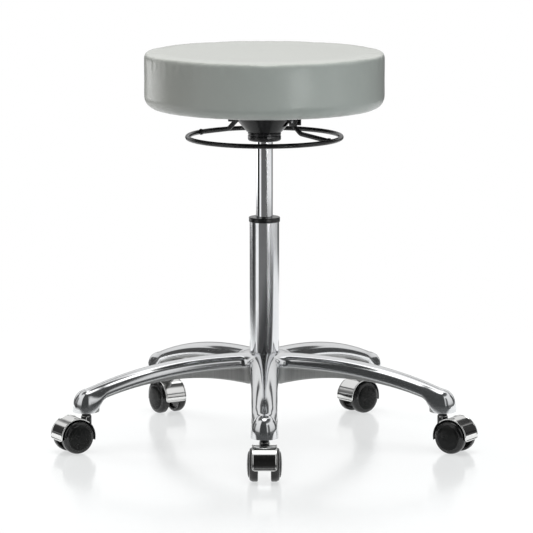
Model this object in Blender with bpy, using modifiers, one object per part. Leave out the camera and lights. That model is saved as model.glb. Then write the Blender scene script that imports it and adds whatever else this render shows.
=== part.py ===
"""Lab stool: padded round seat on a gas lift, ring lever, five-leg base on hooded twin-wheel casters.

Frame: metres, +Z up, origin on the floor under the column axis, -Y toward the front leg.
"""
import math

import bmesh
import bpy
from mathutils import Matrix, Vector

# Seat
SEAT_R = 0.203
SEAT_TOP = 0.6645
SEAT_THICK = 0.0945
SEAT_FLAT_R = 0.060
SEAT_CROWN = 0.0022
TOP_EDGE_R = 0.0125
LOW_EDGE_R = 0.018
SIDE_DRAW = 0.0008
BOARD_R = 0.1765
BOARD_THICK = 0.012
COVER_THICK = 0.001
PLATE_SIDE = 0.158
PLATE_THICK = 0.003
BOLT_PITCH = 0.130
BOLT_R = 0.003
BOLT_HEAD_R = 0.0058

# Seat mount and ring lever
NECK_R = 0.0505
CONE_LOW_R = 0.030
CONE_H = 0.0370
CONE_SLOPE = 0.788
CONE_WALL = 0.0028
SLEEVE_R = 0.020
COLLAR_R = 0.028
COLLAR_H = 0.0157
RING_R = 0.130
WIRE_R = 0.004
RING_DROP = 0.0468
ARM_ANGLE = math.radians(-31.0)
ARM_BEND_OUT = 0.071
ARM_BEND_IN = 0.044
ARM_RISE = 0.0095
LEVER_PIN_R = 0.0025

# Gas lift and column
CYL_R = 0.014
CYL_WALL = 0.002
CYL_LENGTH = 0.2985
CYL_TAPER = 0.0008
VALVE_R = 0.0035
ROD_R = 0.005
ROD_BELOW_RIM = 0.006
COLUMN_R = 0.025
COLUMN_WALL = 0.002
COLUMN_TOP = 0.3800
COLUMN_TAPER = 0.0007
BUSH_DEPTH = 0.072
RIM_R = 0.0264
RIM_H = 0.0042
RIM_SKIRT = 0.0038

# Base casting
STEM_CIRCLE = 0.3156
HUB_R = 0.0446
HUB_TOP = 0.1522
HUB_DEPTH = 0.052
LEG_START = 0.030
LEG_DROP = 0.0478
LEG_CURVE = 2.45
LEG_WIDE = 0.0515
LEG_NARROW = 0.0415
LEG_BEAD = 0.018
LEG_DEEP = 0.052
LEG_SHALLOW = 0.0235
LEG_LEDGE = 0.0022
LEG_WALL = 0.004
LEG_STATIONS = 8
BOSS_R = 0.023
BOSS_LAND = 0.0105
BOSS_DOME = 0.0265
LEG_ANGLES = {"front": -90.0, "left": 198.0, "right": -18.0, "rear_left": 126.0, "rear_right": 54.0}

# Casters
TRAIL_ANGLES = {"front": -90.0, "left": 210.0, "right": -33.0, "rear_left": -58.0, "rear_right": -140.0}
WHEEL_R = 0.028
WHEEL_IN = 0.0105
WHEEL_OUT = 0.0285
WHEEL_STEPS = 18
TRAIL = 0.025
HOOD_WALL = 0.0022
HOOD_W = 0.041
WELL_GAP = 0.002
WEB_HALF = 0.0088
HOOD_BACK_DEG = 184.0
HOOD_LEAD_DEG = -12.0
AXLE_R = 0.003
STEM_R = 0.0055
NECK_H = 0.0066
NECK_RING_R = 0.0078

GAP = 0.0003

# Derived levels
SEAT_LOW = SEAT_TOP - SEAT_THICK
COVER_LOW = SEAT_LOW + 0.0006
BOARD_LOW = COVER_LOW + COVER_THICK + GAP
BOARD_HIGH = BOARD_LOW + BOARD_THICK
PLATE_HIGH = COVER_LOW - GAP
PLATE_LOW = PLATE_HIGH - PLATE_THICK
CONE_HIGH = PLATE_LOW - GAP
CONE_LOW_Z = CONE_HIGH - CONE_H
RING_Z = PLATE_LOW - RING_DROP
ARM_LOW_Z = RING_Z + ARM_RISE
ARM_HIGH_Z = ARM_LOW_Z + (ARM_BEND_OUT - ARM_BEND_IN)
CYL_TOP = ARM_HIGH_Z - WIRE_R - 0.0065
CYL_LOW = CYL_TOP - CYL_LENGTH
VALVE_TOP = ARM_HIGH_Z - WIRE_R - 0.0004
HOOD_R = WHEEL_R + WELL_GAP + HOOD_WALL
HOOD_TOP = WHEEL_R + HOOD_R
BOSS_LOW = HOOD_TOP + NECK_H
COLUMN_LOW = HUB_TOP - HUB_DEPTH - 0.0005


def start():
    """Clear the file and make the two collections."""
    for item in list(bpy.data.objects):
        bpy.data.objects.remove(item, do_unlink=True)
    made = []
    for name in ("lab_stool", "cutters"):
        group = bpy.data.collections.new(name)
        bpy.context.scene.collection.children.link(group)
        made.append(group)
    return made


PARTS, CUTTERS = start()


def finish(name, colour, rough, metal):
    """Make one node's own material."""
    mat = bpy.data.materials.new(name + "_finish")
    mat.use_nodes = True
    shader = mat.node_tree.nodes["Principled BSDF"]
    shader.inputs["Base Color"].default_value = (*colour, 1.0)
    shader.inputs["Roughness"].default_value = rough
    shader.inputs["Metallic"].default_value = metal
    return mat


CHROME = ((0.78, 0.79, 0.80), 0.08, 1.0)
STEEL = ((0.55, 0.56, 0.57), 0.30, 1.0)
SATIN = ((0.33, 0.33, 0.34), 0.38, 1.0)
BLACK_METAL = ((0.012, 0.012, 0.013), 0.22, 0.0)
BLACK_PLASTIC = ((0.016, 0.016, 0.017), 0.35, 0.0)
VINYL = ((0.56, 0.555, 0.54), 0.48, 0.0)
PLY = ((0.52, 0.37, 0.22), 0.65, 0.0)
CLOTH = ((0.02, 0.02, 0.021), 0.9, 0.0)


def node(name, mesh, look=None):
    """Put a mesh in the parts, or in the cutters when it has no look."""
    obj = bpy.data.objects.new(name, mesh)
    if look is None:
        CUTTERS.objects.link(obj)
        obj.hide_render = True
        obj.display_type = "WIRE"
    else:
        PARTS.objects.link(obj)
        mesh.materials.append(finish(name, *look))
    return obj


def turned(name, profile, steps, look=None, ring=False):
    """Turn a profile of (radius, height) points, outer side top to bottom, about its own Z."""
    mesh = bpy.data.meshes.new(name)
    edges = [(i, i + 1) for i in range(len(profile) - 1)]
    if ring:
        edges.append((len(profile) - 1, 0))
    mesh.from_pydata([(r, 0.0, z) for r, z in profile], edges, [])
    obj = node(name, mesh, look)
    screw = obj.modifiers.new("turn", "SCREW")
    screw.axis = "Z"
    screw.steps = steps
    screw.render_steps = steps
    screw.use_merge_vertices = True
    screw.merge_threshold = 0.00001
    screw.use_smooth_shade = False
    return obj


def prism(name, outline, thick, look=None, upright=False):
    """Thicken one flat outline evenly on both sides; upright outlines stand in local XZ."""
    mesh = bpy.data.meshes.new(name)
    flat = [(x, 0.0, z) if upright else (x, z, 0.0) for x, z in outline]
    mesh.from_pydata(flat, [], [list(range(len(flat)))])
    obj = node(name, mesh, look)
    solid = obj.modifiers.new("thick", "SOLIDIFY")
    solid.thickness = thick
    solid.offset = 0.0
    return obj


def cutter_box(name, size):
    """A block cutter centred on its origin."""
    mesh = bpy.data.meshes.new(name)
    bm = bmesh.new()
    bmesh.ops.create_cube(bm, size=1.0)
    bmesh.ops.scale(bm, vec=Vector(size), verts=bm.verts)
    bm.to_mesh(mesh)
    bm.free()
    return node(name, mesh)


def cutter_rod(name, radius, length, steps):
    """A round cutter centred on its origin, along its own Z."""
    half = length / 2
    return turned(name, [(0, half), (radius, half), (radius, -half), (0, -half)], steps)


def combine(obj, other, how="DIFFERENCE"):
    """Add one exact Boolean to an object."""
    mod = obj.modifiers.new(how.lower(), "BOOLEAN")
    mod.operation = how
    mod.solver = "EXACT"
    mod.object = other


def soften(obj, width, segments=1, angle=35.0):
    """Bevel the sharp edges."""
    mod = obj.modifiers.new("soft", "BEVEL")
    mod.width = width
    mod.segments = segments
    mod.limit_method = "ANGLE"
    mod.angle_limit = math.radians(angle)


def axis_frame(origin, along, roll=0.0):
    """Placement whose local Z runs along a level direction and whose local X starts straight up."""
    ez = Vector(along).normalized()
    ex = Matrix.Rotation(roll, 3, ez) @ Vector((0.0, 0.0, 1.0))
    ey = ez.cross(ex)
    turn = Matrix((ex, ey, ez)).transposed()
    return Matrix.Translation(Vector(origin)) @ turn.to_4x4()


def heading(degrees):
    """Level unit vector at an angle from +X."""
    turn = math.radians(degrees)
    return Vector((math.cos(turn), math.sin(turn), 0.0))


def arc(centre, radius, first, last, count):
    """Points on an arc, angles in degrees."""
    cx, cz = centre
    out = []
    for i in range(count):
        a = math.radians(first + (last - first) * i / (count - 1))
        out.append((cx + radius * math.cos(a), cz + radius * math.sin(a)))
    return out


def rounded_path(points, radius, count):
    """Replace the inner corners of a path by arcs."""
    path = [Vector(points[0])]
    for before, corner, after in zip(points, points[1:], points[2:]):
        here = Vector(corner)
        a = (Vector(before) - here).normalized()
        b = (Vector(after) - here).normalized()
        half = a.angle(b) / 2
        reach = radius / math.tan(half)
        centre = here + (a + b).normalized() * (radius / math.sin(half))
        low = (here + a * reach - centre).normalized()
        high = (here + b * reach - centre).normalized()
        for i in range(count):
            path.append(centre + low.slerp(high, i / (count - 1)) * radius)
    path.append(Vector(points[-1]))
    return path


def wire_mesh(name, path, radius):
    """A round wire along a path, as a welded mesh."""
    curve = bpy.data.curves.new(name, "CURVE")
    curve.dimensions = "3D"
    curve.bevel_depth = radius
    curve.bevel_resolution = 2
    curve.use_fill_caps = True
    spline = curve.splines.new("POLY")
    spline.points.add(len(path) - 1)
    for point, place in zip(spline.points, path):
        point.co = (*place, 1.0)
    raw = bpy.data.objects.new(name, curve)
    CUTTERS.objects.link(raw)
    graph = bpy.context.evaluated_depsgraph_get()
    mesh = bpy.data.meshes.new_from_object(raw.evaluated_get(graph))
    bpy.data.objects.remove(raw, do_unlink=True)
    bm = bmesh.new()
    bm.from_mesh(mesh)
    bmesh.ops.remove_doubles(bm, verts=bm.verts, dist=0.00001)
    bmesh.ops.recalc_face_normals(bm, faces=bm.faces)
    bm.to_mesh(mesh)
    bm.free()
    return mesh


def loft(name, rings, look=None):
    """Join rings of equal point count by faces and close both ends."""
    bm = bmesh.new()
    rows = [[bm.verts.new(p) for p in ring] for ring in rings]
    count = len(rows[0])
    for low, high in zip(rows, rows[1:]):
        for i in range(count):
            j = (i + 1) % count
            bm.faces.new((low[i], low[j], high[j], high[i]))
    bm.faces.new(list(reversed(rows[0])))
    bm.faces.new(rows[-1])
    bmesh.ops.recalc_face_normals(bm, faces=bm.faces)
    bmesh.ops.triangulate(bm, faces=bm.faces)
    mesh = bpy.data.meshes.new(name)
    bm.to_mesh(mesh)
    bm.free()
    return node(name, mesh, look)


# Base casting: five legs, each an inverted channel with a rounded bead over a set-back web
def leg_section(u):
    """Closed channel outline (across, height) at a share u of the leg's length."""
    crown = HUB_TOP - 0.0004 - LEG_DROP * u ** LEG_CURVE
    ledge = crown - LEG_BEAD
    low = crown - LEG_SHALLOW - (LEG_DEEP - LEG_SHALLOW) * (1 - u) ** 3
    half = (LEG_WIDE + (LEG_NARROW - LEG_WIDE) * u) / 2
    web = half - LEG_LEDGE
    inner = web - LEG_WALL
    pts = [(web, low), (web, ledge - LEG_LEDGE)]
    for i in range(9):
        a = math.pi * i / 8
        pts.append((half * math.cos(a), ledge + LEG_BEAD * math.sin(a) ** 0.9))
    pts += [(-web, ledge - LEG_LEDGE), (-web, low), (-inner, low), (-inner, ledge)]
    for i in range(1, 3):
        a = math.pi * (1 - i / 3)
        pts.append((inner * math.cos(a), ledge + (LEG_BEAD - LEG_WALL - 0.001) * math.sin(a)))
    pts += [(inner, ledge), (inner, low)]
    return pts


def base_casting():
    """Hub, five legs and five domed caster bosses in one casting."""
    low = HUB_TOP - HUB_DEPTH
    chamfer = 0.0025
    hub = turned("base_casting", [
        (0, HUB_TOP), (HUB_R - 0.0146, HUB_TOP), (HUB_R - 0.0081, HUB_TOP - 0.0048),
        (HUB_R - 0.0031, HUB_TOP - 0.0115), (HUB_R, HUB_TOP - LEG_BEAD), (HUB_R, low + chamfer),
        (HUB_R - chamfer, low), (0, low)], 36, CHROME)
    hub.rotation_euler.z = math.radians(3.3)
    end = STEM_CIRCLE - 0.0030
    dome_z = BOSS_LOW + BOSS_LAND
    for tag, angle in LEG_ANGLES.items():
        rings = []
        for k in range(LEG_STATIONS):
            rho = LEG_START + (end - LEG_START) * k / (LEG_STATIONS - 1)
            u = (rho - LEG_START) / (STEM_CIRCLE - LEG_START)
            rings.append([(rho, y, z) for y, z in leg_section(u)])
        leg = loft("cut_leg_" + tag, rings)
        leg.rotation_euler.z = math.radians(angle)
        profile = [(0, dome_z + BOSS_DOME)]
        for i in range(1, 5):
            a = math.radians(90 - 22.5 * i)
            profile.append((BOSS_R * math.cos(a), dome_z + BOSS_DOME * math.sin(a)))
        profile += [(BOSS_R, BOSS_LOW + 0.0012), (BOSS_R - 0.0012, BOSS_LOW), (0, BOSS_LOW)]
        boss = turned("cut_boss_" + tag, profile, 20)
        boss.location = heading(angle) * STEM_CIRCLE
        boss.rotation_euler.z = math.radians(angle)
        combine(hub, leg, "UNION")
        combine(hub, boss, "UNION")
    bore = turned("cut_column_bore", [
        (0, HUB_TOP + 0.01), (COLUMN_R + GAP, HUB_TOP + 0.01), (COLUMN_R + GAP, HUB_TOP),
        (COLUMN_R - COLUMN_TAPER + GAP, low - 0.001), (0, low - 0.001)], 32)
    combine(hub, bore)
    for tag, angle in LEG_ANGLES.items():
        depth = BOSS_LAND + BOSS_DOME - 0.0075
        socket = cutter_rod("cut_socket_" + tag, STEM_R + GAP, depth * 2, 12)
        socket.location = heading(angle) * STEM_CIRCLE + Vector((0, 0, BOSS_LOW))
        socket.rotation_euler.z = math.radians(angle + 7.0)
        combine(hub, socket)


# Casters
def hood_outline():
    """Side outline of the hood about the stem axis, the axle at -TRAIL."""
    axle = (-TRAIL, WHEEL_R)
    pts = arc(axle, HOOD_R, HOOD_BACK_DEG, HOOD_LEAD_DEG, 14)
    pts += [(-TRAIL + WHEEL_R - 0.004, WHEEL_R - 0.0062), (-TRAIL + 0.012, WHEEL_R - 0.0045)]
    pts += [(-TRAIL + 0.008, WHEEL_R - 0.0075), (-TRAIL - 0.008, WHEEL_R - 0.0075)]
    pts += [(-TRAIL - 0.012, WHEEL_R - 0.003)]
    return pts


def caster(tag):
    """Stem, neck ring, hood, axle and two wheels of one caster."""
    stem_at = heading(LEG_ANGLES[tag]) * STEM_CIRCLE
    trail = heading(TRAIL_ANGLES[tag])
    turn = math.radians(TRAIL_ANGLES[tag] + 180.0)
    stem_low = HOOD_TOP - 0.020
    stem_high = BOSS_LOW + BOSS_LAND + BOSS_DOME - 0.0085
    stem = turned("stem_" + tag, [
        (0, stem_high), (STEM_R - 0.0012, stem_high), (STEM_R, stem_high - 0.0015),
        (STEM_R, stem_low), (0, stem_low)], 12, STEEL)
    stem.location = stem_at
    neck_high = BOSS_LOW - GAP
    neck_low = HOOD_TOP + GAP
    neck = turned("neck_ring_" + tag, [
        (STEM_R + GAP, neck_high), (NECK_RING_R, neck_high), (NECK_RING_R, neck_low),
        (STEM_R + GAP, neck_low)], 12, BLACK_PLASTIC, ring=True)
    neck.location = stem_at

    hood = prism("hood_" + tag, hood_outline(), HOOD_W, CHROME, upright=True)
    hood.location = stem_at
    hood.rotation_euler.z = turn
    soften(hood, 0.0011, 1, 50.0)
    house_low = WHEEL_R + 0.003
    house = turned("cut_stem_house_" + tag, [
        (0, HOOD_TOP), (WEB_HALF - 0.001, HOOD_TOP), (WEB_HALF, HOOD_TOP - 0.001), (WEB_HALF, house_low),
        (0, house_low)], 14)
    house.location = stem_at
    house.rotation_euler.z = turn + 0.05
    combine(hood, house, "UNION")
    axle_at = stem_at + trail * TRAIL + Vector((0, 0, WHEEL_R))
    side = Vector((-trail.y, trail.x, 0.0))
    reach = HOOD_W / 2 + 0.01 - WEB_HALF
    for k, sign in (("a", 1.0), ("b", -1.0)):
        well = cutter_rod("cut_well_%s_%s" % (tag, k), WHEEL_R + WELL_GAP, reach, 24)
        well.matrix_world = axis_frame(axle_at + side * sign * (WEB_HALF + reach / 2), side)
        combine(hood, well)
    hole = cutter_rod("cut_axle_hole_" + tag, AXLE_R + GAP, 0.06, 12)
    hole.matrix_world = axis_frame(axle_at, side)
    combine(hood, hole)
    bore = cutter_rod("cut_stem_hole_" + tag, STEM_R + GAP, 0.040 + 2 * GAP, 12)
    bore.location = stem_at + Vector((0, 0, HOOD_TOP))
    combine(hood, bore)

    half = WHEEL_OUT - 0.0045
    axle = turned("axle_" + tag, [
        (0, half), (AXLE_R, half), (AXLE_R, -half), (0, -half)], 12, STEEL)
    axle.matrix_world = axis_frame(axle_at, side)

    rim = WHEEL_R / math.cos(math.pi / WHEEL_STEPS)
    bore_r = (AXLE_R + GAP) / math.cos(math.pi / WHEEL_STEPS)
    face = WHEEL_OUT
    profile = [
        (0, face), (rim * 0.45, face - 0.0007), (rim * 0.76, face - 0.0024), (rim * 0.80, face - 0.0040),
        (rim * 0.93, face - 0.0052),
        (rim, face - 0.0085), (rim, WHEEL_IN), (bore_r, WHEEL_IN), (bore_r, half + GAP), (0, half + GAP)]
    for k, sign in (("a", 1.0), ("b", -1.0)):
        wheel = turned("wheel_%s_%s" % (tag, k), profile, WHEEL_STEPS, BLACK_PLASTIC)
        wheel.matrix_world = axis_frame(axle_at, side * sign, math.pi / WHEEL_STEPS)


# Column and gas lift
def column():
    """Outer tube, guide bush, thrust bearing, rod and gas cylinder."""
    floor = COLUMN_LOW + 0.007
    inside = COLUMN_R - COLUMN_WALL
    turned("column_tube", [
        (inside, COLUMN_TOP), (COLUMN_R - 0.0005, COLUMN_TOP), (COLUMN_R, COLUMN_TOP - 0.0005),
        (COLUMN_R, HUB_TOP), (COLUMN_R - COLUMN_TAPER, COLUMN_LOW), (ROD_R + 0.0008, COLUMN_LOW),
        (ROD_R + 0.0008, floor), (inside, floor)], 32, CHROME, ring=True)
    bush_r = CYL_R + GAP
    top = COLUMN_TOP + RIM_H
    turned("guide_bush", [
        (bush_r, top), (RIM_R - 0.0010, top), (RIM_R, top - 0.0010), (RIM_R, COLUMN_TOP - RIM_SKIRT),
        (COLUMN_R + GAP, COLUMN_TOP - RIM_SKIRT), (COLUMN_R + GAP, COLUMN_TOP + GAP),
        (inside - GAP, COLUMN_TOP + GAP), (inside - GAP, COLUMN_TOP - BUSH_DEPTH),
        (bush_r, COLUMN_TOP - BUSH_DEPTH)], 32, BLACK_PLASTIC, ring=True)

    race_in = ROD_R + GAP
    race_out = 0.0130
    level = floor + GAP
    for name, height, inset, look in (("lower_race", 0.002, 0.0, STEEL),
                                      ("ball_cage", 0.003, 0.0012, BLACK_PLASTIC),
                                      ("upper_race", 0.002, 0.0, STEEL)):
        turned(name, [
            (race_in, level + height), (race_out - inset, level + height), (race_out - inset, level),
            (race_in, level)], 16, look, ring=True)
        level += height + GAP
    rod_top = COLUMN_TOP - ROD_BELOW_RIM
    shoulder = ROD_R + 0.0035
    rod_low = COLUMN_LOW - 0.0050
    turned("piston_rod", [
        (0, rod_top), (ROD_R, rod_top), (ROD_R, level + 0.0035), (shoulder, level + 0.0035),
        (shoulder, level), (ROD_R, level), (ROD_R, rod_low), (0, rod_low)], 16, STEEL)
    clip_high = COLUMN_LOW - GAP
    turned("rod_clip", [
        (race_in, clip_high), (0.0105, clip_high), (0.0105, clip_high - 0.002), (race_in, clip_high - 0.002)],
        16, STEEL, ring=True)
    bore = CYL_R - CYL_WALL
    head = bore - 0.0006
    turned("piston_head", [
        (race_in, rod_top - 0.004), (head, rod_top - 0.004), (head, rod_top - 0.020),
        (race_in, rod_top - 0.020)], 16, BLACK_PLASTIC, ring=True)

    shoulder_z = CYL_TOP - 0.032
    valve_bore = VALVE_R + GAP
    turned("gas_cylinder", [
        (valve_bore, CYL_TOP), (CYL_R - CYL_TAPER - 0.001, CYL_TOP), (CYL_R - CYL_TAPER, CYL_TOP - 0.001),
        (CYL_R, shoulder_z), (CYL_R, CYL_LOW), (bore, CYL_LOW), (bore, CYL_TOP - 0.030),
        (valve_bore, CYL_TOP - 0.030)], 28, CHROME, ring=True)
    turned("cylinder_gland", [
        (race_in, CYL_LOW + 0.022), (bore - GAP, CYL_LOW + 0.022), (bore - GAP, CYL_LOW + GAP),
        (race_in, CYL_LOW + GAP)], 16, BLACK_PLASTIC, ring=True)
    turned("valve_pin", [
        (0, VALVE_TOP), (VALVE_R - 0.0008, VALVE_TOP), (VALVE_R, VALVE_TOP - 0.0008),
        (VALVE_R, VALVE_TOP - 0.013), (0, VALVE_TOP - 0.013)], 12, STEEL)


# Seat mount, ring lever and its brackets
def along_arm(s, across, z):
    """Point at a distance s along the arm line, a distance across it, at height z."""
    u = Vector((math.cos(ARM_ANGLE), math.sin(ARM_ANGLE), 0.0))
    v = Vector((-u.y, u.x, 0.0))
    return u * s + v * across + Vector((0, 0, z))


def seat_mount():
    """Turned cone with its taper sleeve, windowed for the lever, and the trim collar below it."""
    flare_z = CONE_LOW_Z + (NECK_R - CONE_LOW_R) / CONE_SLOPE
    sleeve_low = CONE_LOW_Z - COLLAR_H
    sleeve_top = CYL_TOP - 0.0008
    fit_low = CYL_R + GAP
    fit_top = CYL_R - CYL_TAPER + GAP
    inner_floor = CONE_LOW_Z + 0.0045
    cone = turned("seat_mount", [
        (NECK_R - CONE_WALL, CONE_HIGH), (NECK_R, CONE_HIGH), (NECK_R, flare_z + 0.002),
        (NECK_R - 0.0012, flare_z - 0.0012), (CONE_LOW_R, CONE_LOW_Z), (SLEEVE_R, CONE_LOW_Z),
        (SLEEVE_R, sleeve_low), (fit_low, sleeve_low),
        (fit_low, CYL_TOP - 0.032), (fit_top, sleeve_top), (fit_top + 0.004, sleeve_top),
        (fit_top + 0.004, inner_floor), (CONE_LOW_R - CONE_WALL * 0.4, inner_floor),
        (NECK_R - CONE_WALL, flare_z + 0.001)], 32, SATIN, ring=True)
    for k, sign in (("right", 1.0), ("left", -1.0)):
        top = ARM_HIGH_Z + WIRE_R + 0.0022
        low = ARM_HIGH_Z - 0.0168
        window = cutter_box("cut_window_" + k, (0.030, 0.0125, top - low))
        window.location = along_arm(sign * (ARM_BEND_IN + 0.006), 0, (top + low) / 2)
        window.rotation_euler.z = ARM_ANGLE
        combine(cone, window)
    collar_high = CONE_LOW_Z - GAP
    inner = SLEEVE_R + GAP
    profile = [(inner, collar_high), (COLLAR_R, collar_high)]
    profile += arc((COLLAR_R - 0.005, sleeve_low + 0.005), 0.005, 0, -90, 4)
    profile += [(inner, sleeve_low)]
    turned("mount_collar", profile, 32, BLACK_PLASTIC, ring=True)


def lever():
    """Ring, two arms and the bar between them in one bent wire, with its brackets and fulcrum pins."""
    mesh = bpy.data.meshes.new("lever_ring")
    bpy.ops.mesh.primitive_torus_add(
        major_radius=RING_R, minor_radius=WIRE_R, major_segments=48, minor_segments=8)
    made = bpy.context.object
    mesh = made.data
    bpy.data.objects.remove(made, do_unlink=True)
    mesh.name = "lever_ring"
    mesh.materials.clear()
    ring = node("lever_ring", mesh, BLACK_METAL)
    ring.location = along_arm(PIN_S, 0, PIN_Z)
    mesh.transform(Matrix.Translation(Vector((0, 0, RING_Z)) - ring.location))
    corners = []
    for s, z in ((RING_R, RING_Z), (ARM_BEND_OUT, ARM_LOW_Z), (ARM_BEND_IN, ARM_HIGH_Z),
                 (-ARM_BEND_IN, ARM_HIGH_Z), (-ARM_BEND_OUT, ARM_LOW_Z), (-RING_R, RING_Z)):
        corners.append(along_arm(s, 0, z))
    arms = node("cut_arms", wire_mesh("cut_arms", rounded_path(corners, 0.010, 4), WIRE_R * 0.995))
    combine(ring, arms, "UNION")

    for k, sign in (("right", 1.0), ("left", -1.0)):
        base = along_arm(sign * (PIN_S + 0.0003), 0, 0)
        high = PLATE_LOW - GAP
        low = PIN_Z - 0.0075
        outer = WIRE_R + 0.0045
        gap = WIRE_R + 0.0008
        step = high - 0.0030
        outline = [(-outer, low), (-gap, low), (-gap, step), (gap, step), (gap, low), (outer, low),
                   (outer, high), (-outer, high)]
        bracket = prism("lever_bracket_" + k, outline, 0.0145, BLACK_METAL, upright=True)
        bracket.location = base
        bracket.rotation_euler.z = ARM_ANGLE + math.pi / 2
        at = along_arm(sign * PIN_S, 0, PIN_Z)
        across = along_arm(0, 1.0, 0)
        hole = cutter_rod("cut_pin_hole_" + k, LEVER_PIN_R + GAP, 0.04, 12)
        hole.matrix_world = axis_frame(at, across)
        combine(bracket, hole)
        half = outer + 0.0012
        pin = turned("lever_pin_" + k, [(0, half), (LEVER_PIN_R, half), (LEVER_PIN_R, -half), (0, -half)],
                     12, STEEL)
        pin.matrix_world = axis_frame(at, across)


# The fulcrum pin sits square above the sloping part of the arm
PIN_OFF = (WIRE_R + LEVER_PIN_R + 0.0004) / math.sqrt(2)
PIN_S = ARM_BEND_IN + 0.011 + PIN_OFF
PIN_Z = ARM_HIGH_Z - 0.011 + PIN_OFF


# Seat
def seat():
    """Bolted plate, dust cover, board and the padded cushion."""
    half = PLATE_SIDE / 2
    corner = 0.020
    outline = []
    for a, sx, sy in ((0, 1, 1), (90, -1, 1), (180, -1, -1), (270, 1, -1)):
        outline += arc((sx * (half - corner), sy * (half - corner)), corner, a, a + 90, 5)
    plate = prism("seat_plate", outline, PLATE_THICK, STEEL)
    plate.location.z = (PLATE_HIGH + PLATE_LOW) / 2
    cover = turned("dust_cover", [
        (0, COVER_LOW + COVER_THICK), (BOARD_R - 0.001, COVER_LOW + COVER_THICK),
        (BOARD_R - 0.001, COVER_LOW), (0, COVER_LOW)], 36, CLOTH)
    board = turned("seat_board", [
        (0, BOARD_HIGH), (BOARD_R, BOARD_HIGH), (BOARD_R, BOARD_LOW), (0, BOARD_LOW)], 36, PLY)
    head_low = PLATE_LOW - GAP - 0.004
    for k, (sx, sy) in enumerate(((1, 1), (-1, 1), (-1, -1), (1, -1))):
        at = Vector((sx * BOLT_PITCH / 2, sy * BOLT_PITCH / 2, 0))
        hole = cutter_rod("cut_bolt_%d" % (k + 1), BOLT_R + GAP, 0.10, 12)
        hole.location = at + Vector((0, 0, SEAT_LOW))
        for piece in (plate, cover, board):
            combine(piece, hole)
        high = BOARD_HIGH - 0.001
        seat_z = PLATE_LOW - GAP
        washer = seat_z - 0.0008
        bolt = turned("seat_bolt_%d" % (k + 1), [
            (0, high), (BOLT_R, high), (BOLT_R, seat_z), (BOLT_HEAD_R * 1.2, seat_z),
            (BOLT_HEAD_R * 1.2, washer), (BOLT_R, washer), (BOLT_R, washer - 0.001), (0, washer - 0.001)],
            12, STEEL)
        bolt.location = at
        head = turned("cut_head_%d" % (k + 1), [
            (0, washer + 0.0004), (BOLT_HEAD_R, washer + 0.0004), (BOLT_HEAD_R, head_low), (0, head_low)], 6)
        head.location = at
        combine(bolt, head, "UNION")

    high = SEAT_TOP - SEAT_CROWN
    rim = SEAT_R - TOP_EDGE_R
    profile = [(0, SEAT_TOP), (SEAT_FLAT_R, SEAT_TOP)]
    for share in (0.35, 0.65, 0.88):
        r = SEAT_FLAT_R + (rim - SEAT_FLAT_R) * share
        profile.append((r, SEAT_TOP - SEAT_CROWN * share ** 2))
    profile += arc((rim, high - TOP_EDGE_R), TOP_EDGE_R, 90, 0, 4)
    low_z = SEAT_LOW + LOW_EDGE_R
    middle = (high - TOP_EDGE_R + low_z) / 2
    profile.append((SEAT_R - SIDE_DRAW, middle + 0.012))
    profile.append((SEAT_R - SIDE_DRAW, middle - 0.012))
    profile += arc((SEAT_R - LOW_EDGE_R, low_z), LOW_EDGE_R, 0, -90, 4)
    lip = BOARD_R + GAP * 2
    profile += [(lip, SEAT_LOW), (lip, BOARD_HIGH + GAP), (0, BOARD_HIGH + GAP)]
    turned("seat_cushion", profile, 44, VINYL)


base_casting()
column()
seat_mount()
lever()
seat()
for leg_name in LEG_ANGLES:
    caster(leg_name)
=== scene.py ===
"""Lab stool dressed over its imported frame: padded seat, ring lever, gas lift, polished base and hooded casters.

Frame: metres, +Z up, origin on the floor under the column axis, -Y toward the front leg and the camera.
"""
import logging
import math
from contextlib import contextmanager
from dataclasses import dataclass, field
from enum import Enum
from typing import Callable, ClassVar, Dict, Iterator, List, Optional, Sequence, Tuple, Union

import bmesh
import bpy
from mathutils import Matrix, Vector


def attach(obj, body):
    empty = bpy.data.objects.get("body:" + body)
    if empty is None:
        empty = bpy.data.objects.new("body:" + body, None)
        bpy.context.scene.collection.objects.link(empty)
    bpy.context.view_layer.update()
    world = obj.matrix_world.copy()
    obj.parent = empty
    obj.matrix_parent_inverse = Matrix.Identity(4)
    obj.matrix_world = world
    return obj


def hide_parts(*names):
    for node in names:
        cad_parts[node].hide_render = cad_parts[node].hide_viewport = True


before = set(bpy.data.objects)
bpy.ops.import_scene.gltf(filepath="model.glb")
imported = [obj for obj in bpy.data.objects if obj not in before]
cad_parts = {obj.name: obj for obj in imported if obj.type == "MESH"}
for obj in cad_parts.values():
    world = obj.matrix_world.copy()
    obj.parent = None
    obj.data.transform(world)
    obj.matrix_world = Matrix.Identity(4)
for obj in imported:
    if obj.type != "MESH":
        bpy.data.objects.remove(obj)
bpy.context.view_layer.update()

LOG = logging.getLogger("lab_stool")

Pair = Tuple[float, float]
Triple = Tuple[float, float, float]
Thing = bpy.types.Object
GAP = 0.0003


class Leg(Enum):
    """The five legs: name, heading of the leg, heading from stem to axle, in degrees."""

    FRONT = ("front", -90.0, -90.0)
    LEFT = ("left", 198.0, 210.0)
    RIGHT = ("right", -18.0, -33.0)
    REAR_LEFT = ("rear_left", 126.0, -58.0)
    REAR_RIGHT = ("rear_right", 54.0, -140.0)

    @property
    def tag(self) -> str:
        """Name used in node and body names."""
        return self.value[0]

    @property
    def heading(self) -> float:
        """Direction of the leg in radians."""
        return math.radians(self.value[1])

    @property
    def trail(self) -> float:
        """Direction from stem to axle in radians."""
        return math.radians(self.value[2])


class Part(Enum):
    """Where a row of the casting's skin lies."""

    BEAD = "bead"
    LIP = "lip"
    WEB = "web"
    WALL = "wall"
    ROOF = "roof"


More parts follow.
